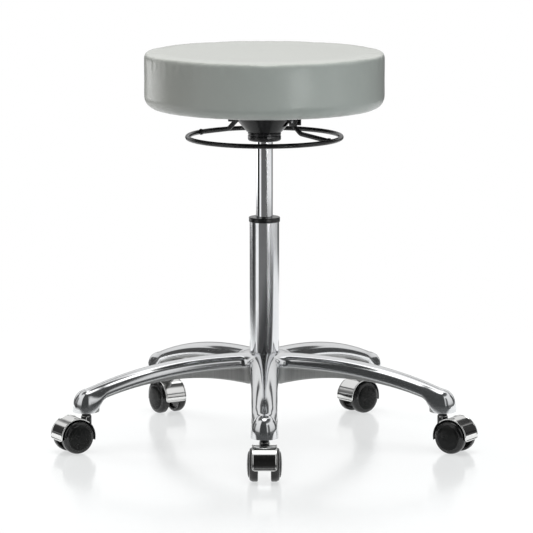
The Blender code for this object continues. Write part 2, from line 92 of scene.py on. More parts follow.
class Side(Enum):
    """The two ends of the lever bar."""

    RIGHT = ("right", 1.0)
    LEFT = ("left", -1.0)


# ---------------------------------------------------------------- modelling
class Bench:
    """Blender's operators in short form; the object worked on is the only one selected."""

    @staticmethod
    def clear() -> None:
        """Deselect everything."""
        bpy.ops.object.select_all(action="DESELECT")

    @staticmethod
    def pick(*things: Thing) -> None:
        """Select only these objects and make the first one active."""
        Bench.clear()
        for thing in things:
            thing.select_set(True)
        bpy.context.view_layer.objects.active = things[0]

    @staticmethod
    def remove(*things: Thing) -> None:
        """Remove objects that have been used up."""
        for thing in things:
            bpy.data.objects.remove(thing, do_unlink=True)

    @staticmethod
    def named(name: str) -> Thing:
        """Name the object that was just added and move its placement into its mesh."""
        made = bpy.context.object
        made.name = name
        bpy.ops.object.transform_apply(location=True, rotation=True, scale=True)
        return made

    @staticmethod
    @contextmanager
    def editing(thing: Thing, mode: str = "VERT") -> Iterator[None]:
        """Work on one object in edit mode, with all of it selected.

        Args:
            thing: Object to edit.
            mode: Selection mode.

        Returns:
            A context that leaves edit mode at its end.
        """
        Bench.pick(thing)
        bpy.ops.object.mode_set(mode="EDIT")
        bpy.ops.mesh.select_mode(type=mode)
        bpy.ops.mesh.select_all(action="SELECT")
        try:
            yield
        finally:
            bpy.ops.object.mode_set(mode="OBJECT")

    @staticmethod
    def weld(thing: Thing, merge: float = 0.000004) -> None:
        """Merge the points that lie closer than a distance."""
        with Bench.editing(thing):
            bpy.ops.mesh.remove_doubles(threshold=merge)

    @staticmethod
    def tidy(thing: Thing) -> None:
        """Merge doubles and turn the faces of a closed mesh outwards."""
        Bench.weld(thing)
        with Bench.editing(thing):
            bpy.ops.mesh.normals_make_consistent(inside=False)

    @staticmethod
    def lathe(name: str, profile: Sequence[Pair], steps: int) -> Thing:
        """Extrude a profile point by point and spin it about Z.

        Args:
            name: Name of the new object.
            profile: Points as (radius, height); a ring repeats its first point last.
            steps: Facets round the axis.

        Returns:
            The turned, closed object.
        """
        Bench.clear()
        bpy.ops.mesh.primitive_plane_add(size=0.001)
        made = Bench.named(name)
        line = held(profile)
        with Bench.editing(made):
            bpy.ops.mesh.merge(type="CENTER")
            bpy.ops.transform.translate(value=(line[0][0], 0.0, line[0][1]))
            for (r0, z0), (r1, z1) in zip(line, line[1:]):
                bpy.ops.mesh.extrude_vertices_move(TRANSFORM_OT_translate={"value": (r1 - r0, 0.0, z1 - z0)})
            bpy.ops.mesh.select_all(action="SELECT")
            bpy.ops.mesh.spin(steps=steps, angle=math.tau, center=(0, 0, 0), axis=(0, 0, 1))
        Bench.tidy(made)
        return made

    @staticmethod
    def rod(name: str, radius: float, high: float, low: float, steps: int) -> Thing:
        """Turn a plain rod about Z between two heights."""
        return Bench.lathe(name, [(0, high), (radius, high), (radius, low), (0, low)], steps)

    @staticmethod
    def grid(name: str, columns: int, rows: int, place: Callable[[float, int], Vector]) -> Thing:
        """Lay a grid primitive onto a surface.

        Args:
            name: Name of the new object.
            columns: Cells along the first way.
            rows: Lines along the second way.
            place: Gives a point from a share along the columns and a line number.

        Returns:
            The shaped sheet.
        """
        Bench.clear()
        bpy.ops.mesh.primitive_grid_add(x_subdivisions=columns, y_subdivisions=rows - 1, size=1.0)
        made = Bench.named(name)
        xs = sorted({round(v.co.x, 5) for v in made.data.vertices})
        ys = sorted({round(v.co.y, 5) for v in made.data.vertices})
        for vert in made.data.vertices:
            share = xs.index(round(vert.co.x, 5)) / (len(xs) - 1)
            vert.co = place(share, ys.index(round(vert.co.y, 5)))
        return made

    @staticmethod
    def slab(name: str, outline: Sequence[Pair], depth: float) -> Thing:
        """Fill an outline that stands in XZ and extrude it evenly to both sides along Y.

        Args:
            name: Name of the new object.
            outline: Corner points as (x, z).
            depth: Whole depth along Y.

        Returns:
            The closed slab.
        """
        Bench.clear()
        bpy.ops.mesh.primitive_circle_add(vertices=len(outline), radius=1.0, fill_type="NGON")
        made = Bench.named(name)
        for vert, (x, z) in zip(made.data.vertices, outline):
            vert.co = (x, -depth / 2, z)
        with Bench.editing(made, "FACE"):
            bpy.ops.mesh.extrude_region_move(TRANSFORM_OT_translate={"value": (0.0, depth, 0.0)})
        Bench.tidy(made)
        return made

    @staticmethod
    def block(name: str, size: Triple, at: Triple, turn: float = 0.0) -> Thing:
        """Add a block of a size at a place, turned about Z."""
        Bench.clear()
        bpy.ops.mesh.primitive_cube_add(size=1.0, location=at, rotation=(0.0, 0.0, turn), scale=size)
        return Bench.named(name)

    @staticmethod
    def wire(name: str, path: Sequence[Vector], radius: float, sides: int) -> Thing:
        """Run a round wire along a path and make it a mesh.

        Args:
            name: Name of the new object.
            path: Points along the middle of the wire.
            radius: Radius of the wire.
            sides: Facets round the wire, an even number.

        Returns:
            The closed wire.
        """
        Bench.clear()
        bpy.ops.curve.primitive_bezier_curve_add()
        curve = bpy.context.object.data
        curve.splines.clear()
        spline = curve.splines.new("POLY")
        spline.points.add(len(path) - 1)
        for point, place in zip(spline.points, path):
            point.co = (*place, 1.0)
        curve.bevel_depth = radius
        curve.bevel_resolution = (sides - 4) // 2
        curve.use_fill_caps = True
        bpy.ops.object.convert(target="MESH")
        made = Bench.named(name)
        Bench.tidy(made)
        return made

    @staticmethod
    def modify(thing: Thing, kind: str, **settings: object) -> None:
        """Add one modifier, set it and apply it.

        Args:
            thing: Object to change.
            kind: Modifier type.
            settings: Attributes of the modifier.
        """
        Bench.pick(thing)
        bpy.ops.object.modifier_add(type=kind)
        mod = thing.modifiers[-1]
        for key, value in settings.items():
            setattr(mod, key, value)
        bpy.ops.object.modifier_apply(modifier=mod.name)

    @staticmethod
    def combine(thing: Thing, other: Thing, how: str = "UNION") -> None:
        """Apply an exact Boolean and remove the second object."""
        Bench.modify(thing, "BOOLEAN", operation=how, solver="EXACT", object=other)
        Bench.remove(other)

    @staticmethod
    def join(name: str, *things: Thing) -> Thing:
        """Join objects into the first one, under a name."""
        Bench.pick(*things)
        bpy.ops.object.join()
        things[0].name = name
        return things[0]

    @staticmethod
    def copy(thing: Thing, name: str) -> Thing:
        """Copy an object with its own mesh, under a name."""
        Bench.pick(thing)
        bpy.ops.object.duplicate(linked=False)
        made = bpy.context.object
        made.name = name
        return made

    @staticmethod
    def settle(thing: Thing, place: Matrix) -> Thing:
        """Put an object in its place and move the place into its mesh."""
        Bench.pick(thing)
        thing.matrix_world = place @ thing.matrix_world
        bpy.ops.object.transform_apply(location=True, rotation=True, scale=True)
        return thing

    @staticmethod
    def smooth(thing: Thing, degrees: float) -> None:
        """Shade smooth, with sharp edges past an angle."""
        Bench.pick(thing)
        bpy.ops.object.shade_smooth_by_angle(angle=math.radians(degrees))

    @staticmethod
    def soften(thing: Thing, width: float, segments: int = 3, degrees: float = 35.0) -> None:
        """Bevel the edges past an angle."""
        Bench.modify(thing, "BEVEL", width=width, segments=segments, limit_method="ANGLE",
                     angle_limit=math.radians(degrees), use_clamp_overlap=True)

    @staticmethod
    def close(thing: Thing, near: Callable[[Vector], bool], bridge: bool = False) -> None:
        """Fill or bridge the open edges that lie in one region.

        Args:
            thing: Object with open edges.
            near: Says whether a point is in the region.
            bridge: Bridge two loops in place of filling each.
        """
        with Bench.editing(thing, "EDGE"):
            bpy.ops.mesh.select_all(action="DESELECT")
            bm = bmesh.from_edit_mesh(thing.data)
            for edge in bm.edges:
                edge.select = edge.is_boundary and all(near(v.co) for v in edge.verts)
            bm.select_flush_mode()
            bmesh.update_edit_mesh(thing.data)
            if bridge:
                bpy.ops.mesh.bridge_edge_loops()
            else:
                bpy.ops.mesh.fill_holes(sides=0)


def arc(centre: Pair, radius: float, first: float, last: float, count: int) -> List[Pair]:
    """Points on an arc from a first to a last angle in degrees, ends included."""
    turns = [math.radians(first + (last - first) * i / (count - 1)) for i in range(count)]
    return [(centre[0] + radius * math.cos(a), centre[1] + radius * math.sin(a)) for a in turns]


def rounded(corners: Sequence[Triple], count: int = 6, ring: bool = False) -> List[Pair]:
    """Round the corners of a profile.

    Args:
        corners: Points as (radius, height, fillet).
        count: Points on each fillet.
        ring: Close the profile.

    Returns:
        Profile points; a ring repeats its first point.
    """
    out: List[Pair] = []
    total = len(corners)
    for i, (x, z, fillet) in enumerate(corners):
        ends = not ring and i in (0, total - 1)
        if fillet <= 0 or ends:
            out.append((x, z))
            continue
        here = Vector((x, z))
        a = Vector(corners[i - 1][:2]) - here
        b = Vector(corners[(i + 1) % total][:2]) - here
        half = a.angle(b) / 2
        reach = min(fillet / math.tan(half), a.length * 0.49, b.length * 0.49)
        radius = reach * math.tan(half)
        middle = here + (a.normalized() + b.normalized()).normalized() * (radius / math.sin(half))
        low = (here + a.normalized() * reach - middle).normalized()
        high = (here + b.normalized() * reach - middle).normalized()
        for k in range(count):
            point = middle + low.slerp(high, k / (count - 1)) * radius
            out.append((point.x, point.y))
    if ring:
        out.append(out[0])
    return out


def held(profile: Sequence[Pair], reach: float = 0.006, inset: float = 0.0006) -> List[Pair]:
    """Add a point near both ends of each long straight run, so that its shading stays true.

    Args:
        profile: Points of the line.
        reach: Runs longer than this are held.
        inset: Distance of the added points from the ends.

    Returns:
        The line with the added points.
    """
    line = [tuple(profile[0])]
    for (r0, z0), (r1, z1) in zip(profile, profile[1:]):
        span = math.hypot(r1 - r0, z1 - z0)
        if span > reach:
            k = inset / span
            line += [(r0 + (r1 - r0) * k, z0 + (z1 - z0) * k),
                     (r1 - (r1 - r0) * k, z1 - (z1 - z0) * k)]
        line.append((r1, z1))
    return line


def smoothstep(low: float, high: float, value: float) -> float:
    """Ease from 0 at low to 1 at high."""
    t = min(1.0, max(0.0, (value - low) / (high - low)))
    return t * t * (3.0 - 2.0 * t)


def level(angle: float) -> Vector:
    """Level unit vector at an angle from +X."""
    return Vector((math.cos(angle), math.sin(angle), 0.0))


# ---------------------------------------------------------------- shaders
Feed = Union["Value", bpy.types.Node, float, Sequence[float]]


class Value:
    """One shader output that Python arithmetic turns into Math nodes."""

    def __init__(self, graph: "Graph", socket: bpy.types.NodeSocket) -> None:
        """Wrap one output socket."""
        self.graph = graph
        self.socket = socket

    def __add__(self, other: Feed) -> "Value":
        """Sum."""
        return self.graph.maths("ADD", self, other)

    __radd__ = __add__

    def __sub__(self, other: Feed) -> "Value":
        """Difference."""
        return self.graph.maths("SUBTRACT", self, other)

    def __rsub__(self, other: Feed) -> "Value":
        """Difference from a number."""
        return self.graph.maths("SUBTRACT", other, self)

    def __mul__(self, other: Feed) -> "Value":
        """Product."""
        return self.graph.maths("MULTIPLY", self, other)

    __rmul__ = __mul__

    def __truediv__(self, other: Feed) -> "Value":
        """Quotient."""
        return self.graph.maths("DIVIDE", self, other)

    def __rtruediv__(self, other: Feed) -> "Value":
        """A number over this value."""
        return self.graph.maths("DIVIDE", other, self)

    def __pow__(self, other: Feed) -> "Value":
        """Power."""
        return self.graph.maths("POWER", self, other)

    def ease(self, low: float, high: float) -> "Value":
        """Ease from 0 at low to 1 at high."""
        return self.graph.out("ShaderNodeMapRange", "Result", {"interpolation_type": "SMOOTHSTEP"},
                              {"Value": self, "From Min": low, "From Max": high})

    def band(self, low: float, high: float, soft: float) -> "Value":
        """One between two limits and 0 outside them, with soft edges."""
        return self.ease(low - soft, low + soft) * (1.0 - self.ease(high - soft, high + soft))


Settings = Optional[Dict[str, object]]
Inputs = Optional[Dict[Union[str, int], Feed]]


class Graph:
    """A node tree with one way of making nodes."""

    def __init__(self, tree: bpy.types.NodeTree) -> None:
        """Take a node tree."""
        self.tree = tree

    @staticmethod
    def material(name: str) -> Tuple[bpy.types.Material, "Graph"]:
        """A new material and its node tree."""
        mat = bpy.data.materials.new(name)
        mat.use_nodes = True
        return mat, Graph(mat.node_tree)

    def node(self, kind: str, settings: Settings = None, inputs: Inputs = None) -> bpy.types.Node:
        """Add one node.

        Args:
            kind: Node type.
            settings: Attributes set first; "stops" fills a ramp.
            inputs: Values or links of its sockets.

        Returns:
            The node.
        """
        made = self.tree.nodes.new(kind)
        for key, value in (settings or {}).items():
            if key == "stops":
                self.fill_ramp(made, value)
            else:
                setattr(made, key, value)
        for key, value in (inputs or {}).items():
            self.feed(made.inputs[key], value)
        return made

    def feed(self, socket: bpy.types.NodeSocket, value: Feed) -> None:
        """Link a value or a node's first output to a socket, or set the socket's own number."""
        if isinstance(value, Value):
            self.tree.links.new(value.socket, socket)
        elif isinstance(value, bpy.types.Node):
            self.tree.links.new(value.outputs[0], socket)
        else:
            socket.default_value = value

    @staticmethod
    def fill_ramp(ramp: bpy.types.Node, stops: Sequence[Pair]) -> None:
        """Set the grey stops of a ramp."""
        items = ramp.color_ramp.elements
        while len(items) < len(stops):
            items.new(0.5)
        for item, (place, grey) in zip(items, stops):
            item.position = place
            item.color = (grey, grey, grey, 1.0)

    def out(self, kind: str, socket: Union[str, int], settings: Settings = None, inputs: Inputs = None) -> Value:
        """Add one node and give one of its outputs, by name or number."""
        return Value(self, self.node(kind, settings, inputs).outputs[socket])

    def maths(self, operation: str, *feeds: Feed) -> Value:
        """One Math node."""
        return self.out("ShaderNodeMath", 0, {"operation": operation}, dict(enumerate(feeds)))

    def place(self) -> Value:
        """Object coordinates."""
        return self.out("ShaderNodeTexCoord", "Object")

    def split(self, vector: Value) -> Tuple[Value, Value, Value]:
        """The three numbers of a vector."""
        made = self.node("ShaderNodeSeparateXYZ", None, {0: vector})
        return tuple(Value(self, socket) for socket in made.outputs)

    def rays(self) -> Tuple[Value, Value, Value]:
        """Whether a ray is the camera's, a mirrored one or one that went through something."""
        path = self.node("ShaderNodeLightPath")
        return tuple(Value(self, path.outputs["Is %s Ray" % kind]) for kind in ("Camera", "Glossy", "Transmission"))

    def vector(self, x: Feed, y: Feed, z: Feed) -> Value:
        """A vector from three numbers."""
        return self.out("ShaderNodeCombineXYZ", 0, None, {0: x, 1: y, 2: z})

    def noise(self, where: Value, scale: float, detail: float = 3.0, rough: float = 0.5) -> Value:
        """A cloud noise from 0 to 1."""
        return self.out("ShaderNodeTexNoise", "Fac", None,
                        {"Vector": where, "Scale": scale, "Detail": detail, "Roughness": rough})

    def cells(self, where: Value, scale: float) -> Value:
        """Distance to the nearest point of a cell pattern."""
        return self.out("ShaderNodeTexVoronoi", "Distance", None, {"Vector": where, "Scale": scale})

    def blend(self, share: Feed, first: Feed, second: Feed) -> Value:
        """Mix two colours."""
        return self.out("ShaderNodeMix", 2, {"data_type": "RGBA"}, {0: share, 6: first, 7: second})

    def bump(self, height: Value, strength: float, depth: float) -> Value:
        """Normal from a height."""
        return self.out("ShaderNodeBump", 0, None, {"Strength": strength, "Distance": depth, "Height": height})


def span(x: Value, y: Value) -> Value:
    """Length of two numbers at right angles."""
    return (x * x + y * y) ** 0.5


@dataclass(frozen=True)
class Finish:
    """A surface finish; each kind fills in its own nodes."""

    PLAIN: ClassVar[Dict[str, str]] = {"metal": "Metallic", "coat": "Coat Weight", "coat_rough": "Coat Roughness",
                                       "gloss": "Specular IOR Level"}

    name: str
    colour: Triple
    rough: float

    def material(self) -> bpy.types.Material:
        """Make the material, or give the one made before."""
        known = bpy.data.materials.get(self.name)
        if known is not None:
            return known
        mat, graph = Graph.material(self.name)
        self.dress(graph, mat.node_tree.nodes["Principled BSDF"])
        return mat

    def dress(self, graph: Graph, shader: bpy.types.Node) -> None:
        """Fill in the nodes of this kind of finish."""
        raise NotImplementedError

    def lay(self, graph: Graph, shader: bpy.types.Node, tone: Value, shades: Pair, uneven: Value, relief: Value,
            **plain: float) -> None:
        """Wire the colour, roughness and normal and set the inputs that don't vary.

        Args:
            graph: Node tree of the material.
            shader: Its main shader.
            tone: Mix of the two shades.
            shades: First and second shade as shares of the colour.
            uneven: What is added to the roughness.
            relief: The normal.
            plain: Inputs with one value, by their short names.
        """
        first, second = ([c * share for c in self.colour] + [1.0] for share in shades)
        feeds = {"Base Color": graph.blend(tone, first, second), "Roughness": self.rough + uneven, "Normal": relief}
        feeds.update({self.PLAIN[key]: value for key, value in plain.items()})
        for key, value in feeds.items():
            graph.feed(shader.inputs[key], value)


@dataclass(frozen=True)
class Polish(Finish):
    """Polished or plated metal with faint smears and a slightly wavy polish."""

    smear: float = 0.05
    wave: float = 0.02
    wave_scale: float = 24.0

    def dress(self, graph: Graph, shader: bpy.types.Node) -> None:
        """Smears over a slow swell."""
        where = graph.place()
        cloud = graph.noise(where, 9.0, 4.0, 0.55).ease(0.38, 0.72)
        fine = graph.noise(where, 420.0, 2.0)
        swell = graph.noise(where, self.wave_scale, 1.5)
        self.lay(graph, shader, cloud, (1.0, 0.93), cloud * self.smear + fine * 0.02,
                 graph.bump(swell, self.wave, 0.004), metal=1.0)


@dataclass(frozen=True)
class CastSkin(Finish):
    """Bare casting: matte grey, with fine upright draw marks from the mould."""

    marks: float = 900.0

    def dress(self, graph: Graph, shader: bpy.types.Node) -> None:
        """Draw marks, grain and clouds."""
        where = graph.place()
        x, y, z = graph.split(where)
        drawn = graph.noise(graph.vector(span(x, y) * self.marks, 0.0, z * 14.0), 1.0, 2.5, 0.6)
        grain = graph.noise(where, 1500.0, 2.0)
        cloud = graph.noise(where, 30.0, 3.0)
        self.lay(graph, shader, (drawn * 0.6 + cloud * 0.4).ease(0.3, 0.7), (0.80, 1.12), grain * 0.12,
                 graph.bump(drawn + grain * 0.5, 0.25, 0.0004), metal=0.75)


@dataclass(frozen=True)
class Plastic(Finish):
    """Moulded plastic or paint with a fine grain and faint dust."""

    grain: float = 900.0
    depth: float = 0.08
    coat: float = 0.0
    gloss: float = 0.5

    def dress(self, graph: Graph, shader: bpy.types.Node) -> None:
        """Dust over the grain."""
        where = graph.place()
        cloud = graph.noise(where, 26.0, 4.0, 0.6).ease(0.35, 0.75)
        grain = graph.noise(where, self.grain, 2.0)
        self.lay(graph, shader, cloud, (0.85, 1.25), cloud * 0.07 + grain * 0.04,
                 graph.bump(grain, self.depth, 0.0002), coat=self.coat, coat_rough=0.06, gloss=self.gloss)


@dataclass(frozen=True)
class Vinyl(Finish):
    """Upholstery vinyl: a soft leather grain with a dull sheen and slight handling marks."""

    grain: float = 820.0

    def dress(self, graph: Graph, shader: bpy.types.Node) -> None:
        """Leather pores, handling marks and clouds."""
        where = graph.place()
        warp = graph.noise(where, 240.0, 2.0)
        bent = graph.out("ShaderNodeVectorMath", 0, {"operation": "ADD"},
                         {0: where, 1: graph.vector(warp * 0.0011, warp * 0.0007, warp * 0.0009)})
        pores, small = graph.cells(bent, self.grain), graph.cells(bent, self.grain * 2.3)
        cloud = graph.noise(where, 7.0, 5.0, 0.6)
        use = graph.noise(where, 55.0, 3.0)
        leather = pores.ease(0.05, 0.62) * 0.75 + small * 0.25
        tone = (cloud * 0.55 + use * 0.25 + leather * 0.20).ease(0.25, 0.75)
        self.lay(graph, shader, tone, (0.965, 1.03), (use - 0.5) * 0.16 - leather * 0.05,
                 graph.bump(leather + use * 0.5, 0.22, 0.0004), gloss=0.35, coat=0.75, coat_rough=0.24)


@dataclass(frozen=True)
class Turned(Finish):
    """Turned or brushed metal with rings round the column axis."""

    lines: float = 2600.0
    depth: float = 0.10
    metal: float = 1.0
    gloss: float = 0.5

    def dress(self, graph: Graph, shader: bpy.types.Node) -> None:
        """Rings and clouds."""
        where = graph.place()
        x, y, z = graph.split(where)
        rings = graph.noise(graph.vector((z + span(x, y) * 0.7) * self.lines, x * 6.0, y * 6.0), 1.0, 2.0, 0.6)
        cloud = graph.noise(where, 40.0, 4.0)
        self.lay(graph, shader, (rings * 0.5 + cloud * 0.5).ease(0.3, 0.7), (0.88, 1.08),
                 rings * 0.10 + (cloud - 0.5) * 0.08, graph.bump(rings, self.depth, 0.0002),
                 metal=self.metal, gloss=self.gloss)


@dataclass(frozen=True)
class Zinc(Finish):
    """Zinc-plated steel with a faint spangle and duller handling marks."""

    spangle: float = 260.0

    def dress(self, graph: Graph, shader: bpy.types.Node) -> None:
        """Spangle and clouds."""
        where = graph.place()
        flakes = graph.cells(where, self.spangle)
        cloud = graph.noise(where, 45.0, 4.0)
        self.lay(graph, shader, (flakes * 0.6 + cloud * 0.5).ease(0.25, 0.75), (0.86, 1.08),
                 (cloud - 0.5) * 0.2 + flakes * 0.06, graph.bump(cloud, 0.08, 0.0003), metal=1.0)


@dataclass(frozen=True)
class Plywood(Finish):
    """Birch plywood: long grain on the faces and thin plies on the edge."""

    ply: float = 0.0024

    def dress(self, graph: Graph, shader: bpy.types.Node) -> None:
        """Grain and plies."""
        x, y, z = graph.split(graph.place())
        grain = graph.noise(graph.vector(x * 14.0, y * 160.0, z * 14.0), 1.0, 5.0, 0.62)
        plies = graph.maths("FRACT", z / self.ply).band(0.08, 0.62, 0.06)
        self.lay(graph, shader, (grain * 0.7 + plies * 0.3).ease(0.2, 0.8), (0.72, 1.12), (grain - 0.5) * 0.15,
                 graph.bump(grain, 0.2, 0.0005))


@dataclass(frozen=True)
class Felted(Finish):
    """Black felted dust cloth: pressed fibres in a dimpled grid."""

    dimples: float = 2600.0
    fibres: float = 900.0

    def dress(self, graph: Graph, shader: bpy.types.Node) -> None:
        """Fibres and dimples."""
        x, y, _ = graph.split(graph.place())
        waves = [graph.maths("SINE", way * self.dimples) for way in (x + y, x - y)]
        dimple = (waves[0] * waves[1]).ease(-0.3, 0.9)
        fibre = graph.noise(graph.vector(x * self.fibres, y * self.fibres, 0.0), 1.0, 5.0, 0.7)
        self.lay(graph, shader, (fibre * 0.7 + dimple * 0.3).ease(0.2, 0.8), (0.6, 1.8), fibre * -0.1,
                 graph.bump(fibre + dimple * 0.6, 0.4, 0.0005))


POLISHED = Polish("polished_casting", (0.82, 0.83, 0.84), 0.05, 0.04, 0.020, 22.0)
PLATED_TUBE = Polish("plated_tube", (0.80, 0.81, 0.83), 0.080, 0.03, 0.003, 30.0)
PLATED_ROD = Polish("plated_rod", (0.80, 0.81, 0.83), 0.030, 0.02, 0.0015, 30.0)
PLATED_HOOD = Polish("plated_hood", (0.80, 0.80, 0.79), 0.05, 0.04, 0.006, 60.0)
CAST = CastSkin("cast_skin", (0.42, 0.42, 0.415), 0.40)
WIRE_BLACK = Plastic("lever_black", (0.005, 0.005, 0.0055), 0.24, 700.0, 0.05, 0.2)
GLOSS_BLACK = Plastic("collar_black", (0.007, 0.007, 0.008), 0.22, 900.0, 0.05, 0.2)
NYLON_BLACK = Plastic("nylon_black", (0.014, 0.014, 0.015), 0.38, 1100.0, 0.12, 0.0)
WHEEL_RIM = Plastic("wheel_rim_black", (0.006, 0.006, 0.006), 0.16, 800.0, 0.05, 0.2)
WHEEL_DISC = Plastic("wheel_disc_charcoal", (0.006, 0.0064, 0.006), 0.24, 1300.0, 0.12, 0.0, 0.22)
SEAT_VINYL = Vinyl("seat_vinyl", (0.61, 0.63, 0.585), 0.42)
MOUNT_SATIN = Turned("mount_satin", (0.004, 0.004, 0.0045), 0.11, 2600.0, 0.04, 0.0, 0.28)
ZINC = Zinc("zinc_steel", (0.56, 0.57, 0.58), 0.30)
BOARD_PLY = Plywood("board_plywood", (0.52, 0.37, 0.22), 0.62)
DUST_CLOTH = Felted("dust_cloth", (0.02, 0.02, 0.021), 0.92)


def paint(thing: Thing, *finishes: Finish) -> None:
    """Give an object its finishes in slot order."""
    for finish in finishes:
        thing.data.materials.append(finish.material())


def hand_over(thing: Thing, body: str, slot: str, *nodes: str) -> Thing:
    """Tell the frame what a finished piece rides on and stands for.

    Args:
        thing: Finished piece.
        body: Body that carries it.
        slot: Not used.
        nodes: CAD nodes that it replaces.

    Returns:
        The same piece.
    """
    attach(thing, body)
    if nodes:
        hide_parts(*nodes)
    LOG.info("%s on %s: %d faces", thing.name, body, len(thing.data.polygons))
    return thing


def complete(thing: Thing, finish: Finish, degrees: float, body: str, slot: str, node: str) -> None:
    """Paint a piece of one finish, shade it smooth and hand it over.

    Args:
        thing: Modelled piece.
        finish: Its finish.
        degrees: Edges past this angle stay sharp.
        body: Body that carries it.
        slot: Material slot of the record.
        node: CAD node that it replaces.
    """
    paint(thing, finish)
    Bench.smooth(thing, degrees)
    hand_over(thing, body, slot, node)


def redress(finish: Finish, *nodes: str) -> None:
    """Give CAD nodes that keep their shape a detailed finish.

    Args:
        finish: Finish to use.
        nodes: Names of the nodes.
    """
    for name in nodes:
        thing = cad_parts[name]
        thing.data.materials.clear()
        thing.data.materials.append(finish.material())
        LOG.info("%s keeps its solid, finish %s", name, finish.name)


